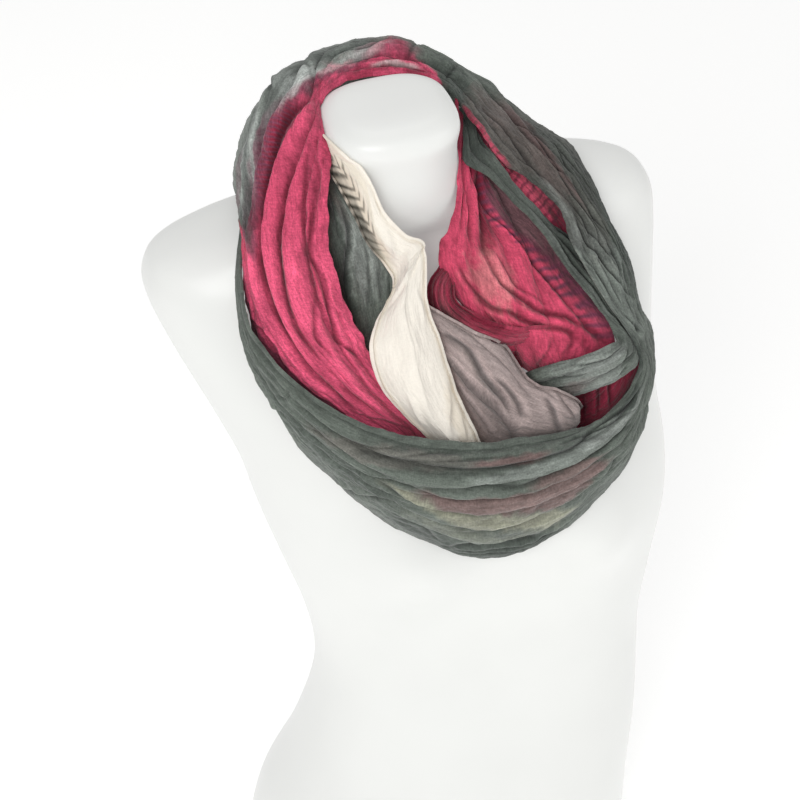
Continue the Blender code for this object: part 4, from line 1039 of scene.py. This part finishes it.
def rolled(points, normal, out, at_end):
    """Columns that roll an edge over to the cloth's underside and run back beneath it."""
    columns = []
    edge = -1 if at_end else 0
    for k in range(1, HEM_TURN + 1):
        turn = math.pi * k / HEM_TURN
        rise = (1 - math.cos(turn)) * normal[:, edge]
        columns.append(points[:, edge] + HEM_RADIUS * (math.sin(turn) * out - rise))
    for k in range(1, HEM_RUN + 1):
        inside = -1 - HEM_STEP * k if at_end else HEM_STEP * k
        columns.append(points[:, inside] - 2 * HEM_RADIUS * normal[:, inside])
    if not at_end:
        columns.reverse()
    return np.stack(columns, axis=1)


def edges_of(stretch, numbers, marks):
    """The shares across at which the stretch's inner and outer edge lie, where they wander too."""
    table = np.array(EDGES.get(stretch.name, WHOLE_WIDTH))
    ends = arcs(stretch.table, numbers, np.array([[0.0, 1.0]] * len(numbers)))
    width = np.linalg.norm(ends[:, 1] - ends[:, 0], axis=1)
    for side in (0, 1):
        edge = np.interp(numbers, table[:, 0], table[:, side + 1] / 100)
        yield (edge + stretch.wrinkle * ruffle(marks, side) / width)[:, None]


def fold_steps(stretch, numbers, lines):
    """The fold steps of the cloth's columns, about STEP_ACROSS apart where the stretch is widest."""
    count = len(stretch.valleys)
    coarse = arcs(stretch.table, numbers, across_of(lines, np.arange(count + 1.0)))
    widest = np.linalg.norm(np.diff(coarse, axis=1), axis=2).max(axis=0)
    quads = np.maximum(FEWEST_QUADS, np.round(widest / STEP_ACROSS).astype(int))
    return np.append(np.concatenate([fold + np.arange(n) / n for fold, n in enumerate(quads)]), count)


def sheet_grid(stretch, skin):
    """The points, normals and cloth places of a stretch, rows along it and columns across it."""
    first, last = marks_at(stretch.table, [stretch.first, stretch.last])
    rows = max(FEWEST_ROWS, round((last - first) / STEP_ALONG))
    step = (last - first) / rows
    before, after = stretch.first > 0, stretch.last < len(stretch.table) - 1
    marks = first + step * np.arange(-int(before), rows + 1 + int(after))
    numbers = np.interp(marks, lengths_along(stretch.table), np.arange(len(stretch.table)))
    low, high = edges_of(stretch, numbers, marks)
    lines = low + (high - low) * valley_rows(stretch, numbers)
    steps = fold_steps(stretch, numbers, lines)
    across = across_of(lines, steps)

    flat = arcs(stretch.table, numbers, across)
    ahead, behind = (arcs(stretch.table, numbers + off, across) for off in (SLOPE_STEP, -SLOPE_STEP))
    sideways = unit(np.gradient(flat, axis=1))
    normal = unit(np.cross(ahead - behind, sideways))
    along_mm, across_mm = marks[:, None] + 0 * across, across * stretch.cloth
    folds = fold_heights(stretch, numbers, steps, flat)
    widths = np.linalg.norm(flat[:, -1] - flat[:, 0], axis=1, keepdims=True)
    calm = np.clip(widths / (GATHERED * stretch.cloth), CALMEST, 1)
    shift = TABLES_APART * drawn_on(stretch.table)[-1]
    lifts, crease_shade = crease_heights(stretch, along_mm, across_mm)
    fine = stretch.wrinkle * calm * wrinkle_heights(along_mm + shift, across_mm) + calm * lifts
    heights = folds + fine
    # painted highlight and shade: the crests and troughs, darker still in creases
    relief = relief_of(heights, widths.mean() / across.shape[1]) - crease_shade

    points = flat + normal * heights[:, :, None] + sideways * (stretch.lean * folds)[:, :, None]
    points = laid_on(skin, points)
    inner = rolled(points, normal, -sideways[:, 0], False)
    outer = rolled(points, normal, sideways[:, -1], True)
    points = np.concatenate([laid_on(skin, inner), points, laid_on(skin, outer)], axis=1)
    hem = HEM_TURN + HEM_RUN
    across, relief = (np.pad(values, ((0, 0), (hem, hem)), mode="edge") for values in (across, relief))
    outward = unit(np.cross(np.gradient(points, axis=0), np.gradient(points, axis=1)))
    keep = slice(int(before), points.shape[0] - int(after))
    return [values[keep] for values in (points, outward, marks, across, relief)]


# The dyes, and the painted shade and light.


def band_share(stretch, marks, across, knots, soft):
    """How much of a band's colour, dye or painted light and shade, lies at each point: 1 inside, fading over
    soft millimetres at its edges.
    """
    table = np.array(knots, float)
    reach = marks_at(stretch.table, table[:, 0])
    along_mm, across_mm = marks[:, None] + 0 * across, across * stretch.cloth
    low, high = (np.interp(marks, reach, table[:, k] / 100)[:, None] * stretch.cloth for k in (1, 2))
    waves = (share * noise(along_mm / long, across_mm / wide, seed) for share, long, wide, seed in BLURS)
    blur = soft * sum(waves)
    here = across_mm + blur
    shown = smooth(-soft, soft, here - low) * smooth(-soft, soft, high - here)
    end = 2 * soft + BAND_END
    ends = 1.0
    if table[0, 0] > 0:
        ends = ends * smooth(-end, end, along_mm + blur - reach[0])
    if table[-1, 0] < len(stretch.table) - 1:
        ends = ends * smooth(-end, end, reach[-1] - along_mm - blur)
    return shown * ends


def paint(mesh, stretch, marks, across, relief):
    """Writes the colour (dyes, and the bands of painted shade and light), the comb marks, the crests and
    troughs for painted highlight and shade, and the cloth's own coordinates.
    """
    colour = np.ones((*across.shape, 3)) * DYES_AND_PAINTED_LIGHT[stretch.dye]
    comb = np.zeros(across.shape)
    _, bands, _ = drawn_on(stretch.table)
    for dye, strength, soft, *knots in bands:
        if knots[0][0] >= stretch.last or knots[-1][0] <= stretch.first:
            continue
        share = strength * band_share(stretch, marks, across, knots, soft)
        if dye == "comb":
            comb = np.maximum(comb, share)
        else:
            colour = colour * (1 - share[:, :, None]) + np.array(DYES_AND_PAINTED_LIGHT[dye]) * share[:, :, None]
    # the colour holds the dyes and the bands' painted shade and light
    values = np.concatenate([colour.reshape(-1, 3), np.ones((across.size, 1))], axis=1)
    mesh.color_attributes.new("dye", "FLOAT_COLOR", "POINT").data.foreach_set("color", values.ravel())
    for name, values in (("comb", comb), ("relief", relief)):
        mesh.attributes.new(name, "FLOAT", "POINT").data.foreach_set("value", values.ravel())
    corners = np.zeros(len(mesh.loops), np.int32)
    mesh.loops.foreach_get("vertex_index", corners)
    cloth = np.stack([marks[:, None] + 0 * across, across * stretch.cloth], axis=-1).reshape(-1, 2) * MM
    layer = mesh.uv_layers.new(name="cloth")
    layer.uv.foreach_set("vector", cloth[corners].ravel().astype(np.float32))


# Materials.

WAVE_PERIOD = 0.314         # how far apart a wave texture's bands lie at a scale of 1
COMB_WAVE = {"Distortion": 3.2, "Detail": 1.5, "Detail_Scale": 1.2}
COMB_SHOWS = (0.75, 1.65)   # wave and comb strength together, where a mark starts and where it is full
COMB_FADE = 3.0             # how quickly the marks come in with the comb strength
NOISE_SPAN = (0.28, 0.72)   # noise seldom leaves this part of 0 to 1
# The unevenness of the gauze: how long and how wide a feature is, how fine its noise goes, and how much it
# lightens and darkens the dye, as a share of a look's slubs. Crinkle, crush and pucker also raise the bumps,
# and their lightening and darkening is painted highlight on the bumps and painted shade in their hollows.
GRAINS = {
    # name: (long, wide, detail, share)
    "mottle": (34, 15, 4, 1.3),
    "slubs": (11, 1.3, 2, 0.85),
    "speck": (1.5, 1.5, 1, 1.1),
    "crinkle": (14, 3, 4, 0.9),
    "crush": (6.5, 5, 4, 0.6),
    "pucker": (3.2, 2.4, 3, 0.8),
    "weft": (1.3, 7, 2, 0.8),
}
GAUZE = {"Roughness": 0.92, "Sheen_Weight": 0.2, "Sheen_Roughness": 0.5, "Specular_IOR_Level": 0.2}
TRANSLUCENCY = 0.1          # share of the light that the gauze passes through
CREST_HIGHLIGHT = 0.7            # how much painted highlight lightens crests, as a share of a look's relief shading
TROUGH_SHADE = 1.8           # how much painted shade darkens troughs and the bottoms of creases, as a share of it
# How pieces' dye and painted shading differ: the comb marks' spacing, how far they slant, and where across
# they turn back, in millimetres and degrees; their ink; how strong the painted shade in troughs and the
# painted highlight on crests are; how strong the grains are, whose tone is the gauze's own unevenness and, on
# the bumps, painted shade and highlight; how high the crushed bumps stand.
Look = namedtuple("Look", "spacing slant turns_at ink relief slubs crush")
PLAIN = Look(6.5, 0, 0, tint(66, 68, 62), 0.45, 0.17, 0.8)
LOOKS = {
    "front_drape": Look(6.5, 0, 0, tint(66, 68, 62), 0.34, 0.15, 0.6),
    "right_crimson": Look(6.8, 0, 0, tint(118, 58, 80), 0.38, 0.14, 0.8),
    "slit_crimson": Look(7, 12, 0, tint(112, 50, 72), 0.32, 0.12, 0.8),
    "hood_left": Look(3.6, -12, 0, tint(110, 60, 80), 0.33, 0.17, 0.8),
    "crimson_gathers": Look(6.5, 0, 0, tint(92, 52, 70), 0.45, 0.14, 0.8),
    "crimson_tuck": Look(6.5, 0, 0, tint(92, 52, 70), 0.45, 0.14, 0.8),
    "white_upper": Look(9.2, 40, 30, tint(76, 73, 64), 0.05, 0.02, 0.4),
    "white_lower": Look(9.2, 40, 30, tint(92, 90, 80), 0.06, 0.02, 0.5),
    "taupe": Look(6.5, 0, 0, tint(66, 68, 62), 0.36, 0.12, 0.7),
}


def nodes_of(name):
    """A new material, its node tree, its shader and its output."""
    made = bpy.data.materials.new(name)
    made.use_nodes = True
    tree = made.node_tree
    return made, tree, tree.nodes["Principled BSDF"], tree.nodes["Material Output"]


def feed(tree, node, **inputs):
    """Links an input that is given a socket and sets one that is given a value. i2 is the third input."""
    for key, value in inputs.items():
        name = int(key[1:]) if key[1:].isdigit() else key.replace("_", " ")
        if isinstance(value, bpy.types.NodeSocket):
            tree.links.new(value, node.inputs[name])
        else:
            node.inputs[name].default_value = value


def add(tree, kind, settings=None, **inputs):
    """The outputs of a new node with these settings and inputs."""
    node = tree.nodes.new("ShaderNode" + kind)
    for key, value in (settings or {}).items():
        setattr(node, key, value)
    feed(tree, node, **inputs)
    return node.outputs


def calc(tree, operation, first, second=0.0, clamped=False):
    """A Math node's outcome, from sockets or numbers."""
    settings = {"operation": operation, "use_clamp": clamped}
    return add(tree, "Math", settings, i0=first, i1=second)["Value"]


def span(tree, value, low, high, reach=NOISE_SPAN):
    """A value that runs from low to high while another one passes its reach."""
    ends = {"From_Min": reach[0], "From_Max": reach[1], "To_Min": low, "To_Max": high}
    return add(tree, "MapRange", Value=value, **ends)["Result"]


def grain(tree, place, long, wide, detail):
    """Noise on the cloth's own coordinates, with features `long` by `wide` millimetres."""
    scaled = add(tree, "Mapping", Vector=place, Scale=(1 / (long * MM), 1 / (wide * MM), 1))["Vector"]
    return add(tree, "TexNoise", Vector=scaled, Scale=1, Detail=detail)["Fac"]


def combed(tree, place, dye, comb, look):
    """The colour, dyes with painted shade and light among them, with the comb marks' ink over it."""
    parts = add(tree, "SeparateXYZ", Vector=place)
    off = calc(tree, "ABSOLUTE", calc(tree, "SUBTRACT", parts["Y"], look.turns_at * MM))
    lean = calc(tree, "MULTIPLY", off, math.tan(math.radians(look.slant)))
    teeth_at = add(tree, "CombineXYZ", X=calc(tree, "ADD", parts["X"], lean), Y=parts["Y"])["Vector"]
    scale = WAVE_PERIOD / (look.spacing * MM)
    teeth = add(tree, "TexWave", {"bands_direction": "X"}, Vector=teeth_at, Scale=scale, **COMB_WAVE)["Fac"]
    marked = span(tree, calc(tree, "ADD", teeth, comb), 0, 1, COMB_SHOWS)
    shown = calc(tree, "MULTIPLY", marked, calc(tree, "MULTIPLY", comb, COMB_FADE, clamped=True))
    # inputs 6 and 7 of a Mix node are its two colours, and output 2 is their mix
    return add(tree, "Mix", {"data_type": "RGBA"}, i0=shown, i6=dye, i7=(*look.ink, 1))[2]


def cloth_material(name, look):
    """Crinkled dyed gauze, with painted highlight on its crests and painted shade in its troughs, creases and
    bump hollows.
    """
    made, tree, shader, output = nodes_of(name)
    place = add(tree, "UVMap", {"uv_map": "cloth"})["UV"]
    # the painted colour: dyes, with the bands' painted shade and light
    dye = add(tree, "VertexColor", {"layer_name": "dye"})["Color"]
    comb, relief = (add(tree, "Attribute", {"attribute_name": kind})["Fac"] for kind in ("comb", "relief"))
    grains = {}
    tone = 1.0
    # each grain lightens and darkens the colour: uneven gauze, and for crinkle, crush and pucker painted
    # shade and highlight on their bumps
    for kind, (long, wide, detail, share) in GRAINS.items():
        grains[kind] = grain(tree, place, long, wide, detail)
        uneven = share * look.slubs
        tone = calc(tree, "MULTIPLY", tone, span(tree, grains[kind], 1 - uneven, 1 + uneven))
    # painted highlight on crests, painted shade in troughs and at the bottoms of creases
    dark, light = 1 - TROUGH_SHADE * look.relief, 1 + CREST_HIGHLIGHT * look.relief
    tone = calc(tree, "MULTIPLY", tone, span(tree, relief, dark, light, (-2, 1)))
    inked = combed(tree, place, dye, comb, look)
    colour = add(tree, "VectorMath", {"operation": "SCALE"}, i0=inked, Scale=tone)["Vector"]

    bumps = {"crinkle": (1.1, 0.8), "crush": (look.crush, 0.8), "pucker": (0.4, 0.7)}   # height and strength
    surface = {}
    for kind, (height, strength) in bumps.items():
        bump = add(tree, "Bump", Height=grains[kind], Distance=height * MM, Strength=strength, **surface)
        surface = {"Normal": bump["Normal"]}
    feed(tree, shader, Base_Color=colour, **surface, **GAUZE)
    passed = add(tree, "BsdfTranslucent", Color=colour, **surface)["BSDF"]
    both = add(tree, "MixShader", Fac=TRANSLUCENCY, i1=shader.outputs["BSDF"], i2=passed)["Shader"]
    feed(tree, output, Surface=both)
    return made


PLASTIC = {
    "Roughness": 0.38,
    "Subsurface_Weight": 0.15,
    "Subsurface_Radius": (0.02, 0.02, 0.02),
    "Subsurface_Scale": 0.5,
    # painted light: the form glows a little, which evens out its shading
    "Emission_Color": (1, 1, 1, 1),
    "Emission_Strength": 0.2,
}
PLASTIC_CLOUDS = {"Scale": 9, "Detail": 2}
PLASTIC_TONES = (0.97, 1.03)
PLASTIC_GRAIN = {"Scale": 160, "Detail": 2}
PLASTIC_BUMP = {"Distance": 0.05 * MM, "Strength": 0.3}


def plastic_material():
    """White moulded plastic, which lets a little light in and glows a little as painted light."""
    made, tree, shader, _ = nodes_of("form_plastic")
    place = add(tree, "TexCoord")["Object"]
    tone = span(tree, add(tree, "TexNoise", Vector=place, **PLASTIC_CLOUDS)["Fac"], *PLASTIC_TONES)
    colour = add(tree, "VectorMath", {"operation": "SCALE"}, i0=FORM_WHITE, Scale=tone)["Vector"]
    fine = add(tree, "TexNoise", Vector=place, **PLASTIC_GRAIN)["Fac"]
    normal = add(tree, "Bump", Height=fine, **PLASTIC_BUMP)["Normal"]
    feed(tree, shader, Base_Color=colour, Normal=normal, **PLASTIC)
    return made


def floor_material():
    """A pale matt floor that glows a little, so that it stays pale at the edges of the picture."""
    made, tree, shader, _ = nodes_of("floor_white")
    glow = {"Emission_Color": (1, 1, 1, 1), "Emission_Strength": FLOOR_GLOW}
    feed(tree, shader, Base_Color=(*FLOOR_WHITE, 1), Roughness=0.8, **glow)
    return made


# The pieces.


def build_form():
    """The form. It gives back its skin as a tree in which the nearest point is quickly found."""
    obj = dress_form()
    obj.data.materials.append(plastic_material())
    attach(obj, "root")
    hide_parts("dress_form")
    points = [v.co / MM for v in obj.data.vertices]
    return BVHTree.FromPolygons(points, [tuple(f.vertices) for f in obj.data.polygons])


def build_cloth(stretch, skin):
    """One stretch of cloth with its dyes and its gauze."""
    points, normals, marks, across, relief = sheet_grid(stretch, skin)
    name = stretch.name + "_cloth"
    obj = mesh_object(name, points.reshape(-1, 3), grid_faces(*points.shape[:2]), normals.reshape(-1, 3))
    paint(obj.data, stretch, marks, across, relief)
    obj.data.materials.append(cloth_material(name, LOOKS.get(stretch.name, PLAIN)))
    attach(obj, "root")
    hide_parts(stretch.name)
    tuple(side * MM for side in stretch.cut)


# The stage.

FLOOR_SIZE = 8.0
FLOOR_GLOW = 0.26
WORLD = {"Color": (1, 1, 1, 1), "Strength": 0.54}
LIGHTS = [
    # name, power, size, from, at
    ("key", 43, 1.5, (-1.1, -2.1, 2.1), (0, -0.05, 0.6)),
    ("fill", 10, 1.8, (1.9, -1.4, 1.5), (0, -0.05, 0.6)),
    ("top", 6, 1.4, (0.2, 0.9, 2.4), (0, 0, 0.7)),
]
# The camera looks at the middle of the neck's cap, which shows at CAP_PIXEL of an 800 pixel frame. Scale is
# the size of a pixel there, in metres.
CAMERA = {"azimuth": -13, "elevation": 37, "roll": 4, "distance": 2.6, "scale": 0.00072}
CAP_MIDDLE = (0, -0.01, 0.78)
CAP_PIXEL = (390, 112)
FRAME_PIXELS = 800
SENSOR_MM = 36


def add_camera():
    azimuth, elevation, roll = (math.radians(CAMERA[k]) for k in ("azimuth", "elevation", "roll"))
    level = math.cos(elevation)
    ahead = -Vector((math.sin(azimuth) * level, -math.cos(azimuth) * level, math.sin(elevation)))
    right = ahead.cross(Vector((0, 0, 1))).normalized()
    up = right.cross(ahead)
    right, up = right * math.cos(roll) - up * math.sin(roll), right * math.sin(roll) + up * math.cos(roll)
    aside = (CAP_PIXEL[0] - FRAME_PIXELS / 2) * CAMERA["scale"]
    above = -(CAP_PIXEL[1] - FRAME_PIXELS / 2) * CAMERA["scale"]
    data = bpy.data.cameras.new("camera")
    data.sensor_width = SENSOR_MM
    data.lens = CAMERA["distance"] / CAMERA["scale"] / FRAME_PIXELS * SENSOR_MM
    placed = Matrix((right, up, -ahead)).transposed().to_4x4()
    placed.translation = Vector(CAP_MIDDLE) - (right * aside + up * above + ahead * CAMERA["distance"])
    obj = link(bpy.data.objects.new("camera", data))
    obj.matrix_world = placed
    bpy.context.scene.camera = obj


def add_light(name, power, size, start, target):
    data = bpy.data.lights.new(name, "AREA")
    data.shape, data.energy, data.size = "DISK", power, size
    obj = link(bpy.data.objects.new(name, data))
    obj.location = start
    obj.rotation_euler = (Vector(target) - Vector(start)).to_track_quat("-Z", "Y").to_euler()


def add_stage():
    half = FLOOR_SIZE / 2
    mesh = bpy.data.meshes.new("floor")
    corners = [(-half, -half, 0), (half, -half, 0), (half, half, 0), (-half, half, 0)]
    mesh.from_pydata(corners, [], [(0, 1, 2, 3)])
    mesh.materials.append(floor_material())
    link(bpy.data.objects.new("floor", mesh))
    world = bpy.data.worlds.new("studio")
    world.use_nodes = True
    feed(world.node_tree, world.node_tree.nodes["Background"], **WORLD)
    bpy.context.scene.world = world
    for light in LIGHTS:
        add_light(*light)
    bpy.context.scene.view_settings.view_transform = "Standard"


add_camera()
add_stage()
form_skin = build_form()
for stretch in STRETCHES:
    build_cloth(stretch, form_skin)
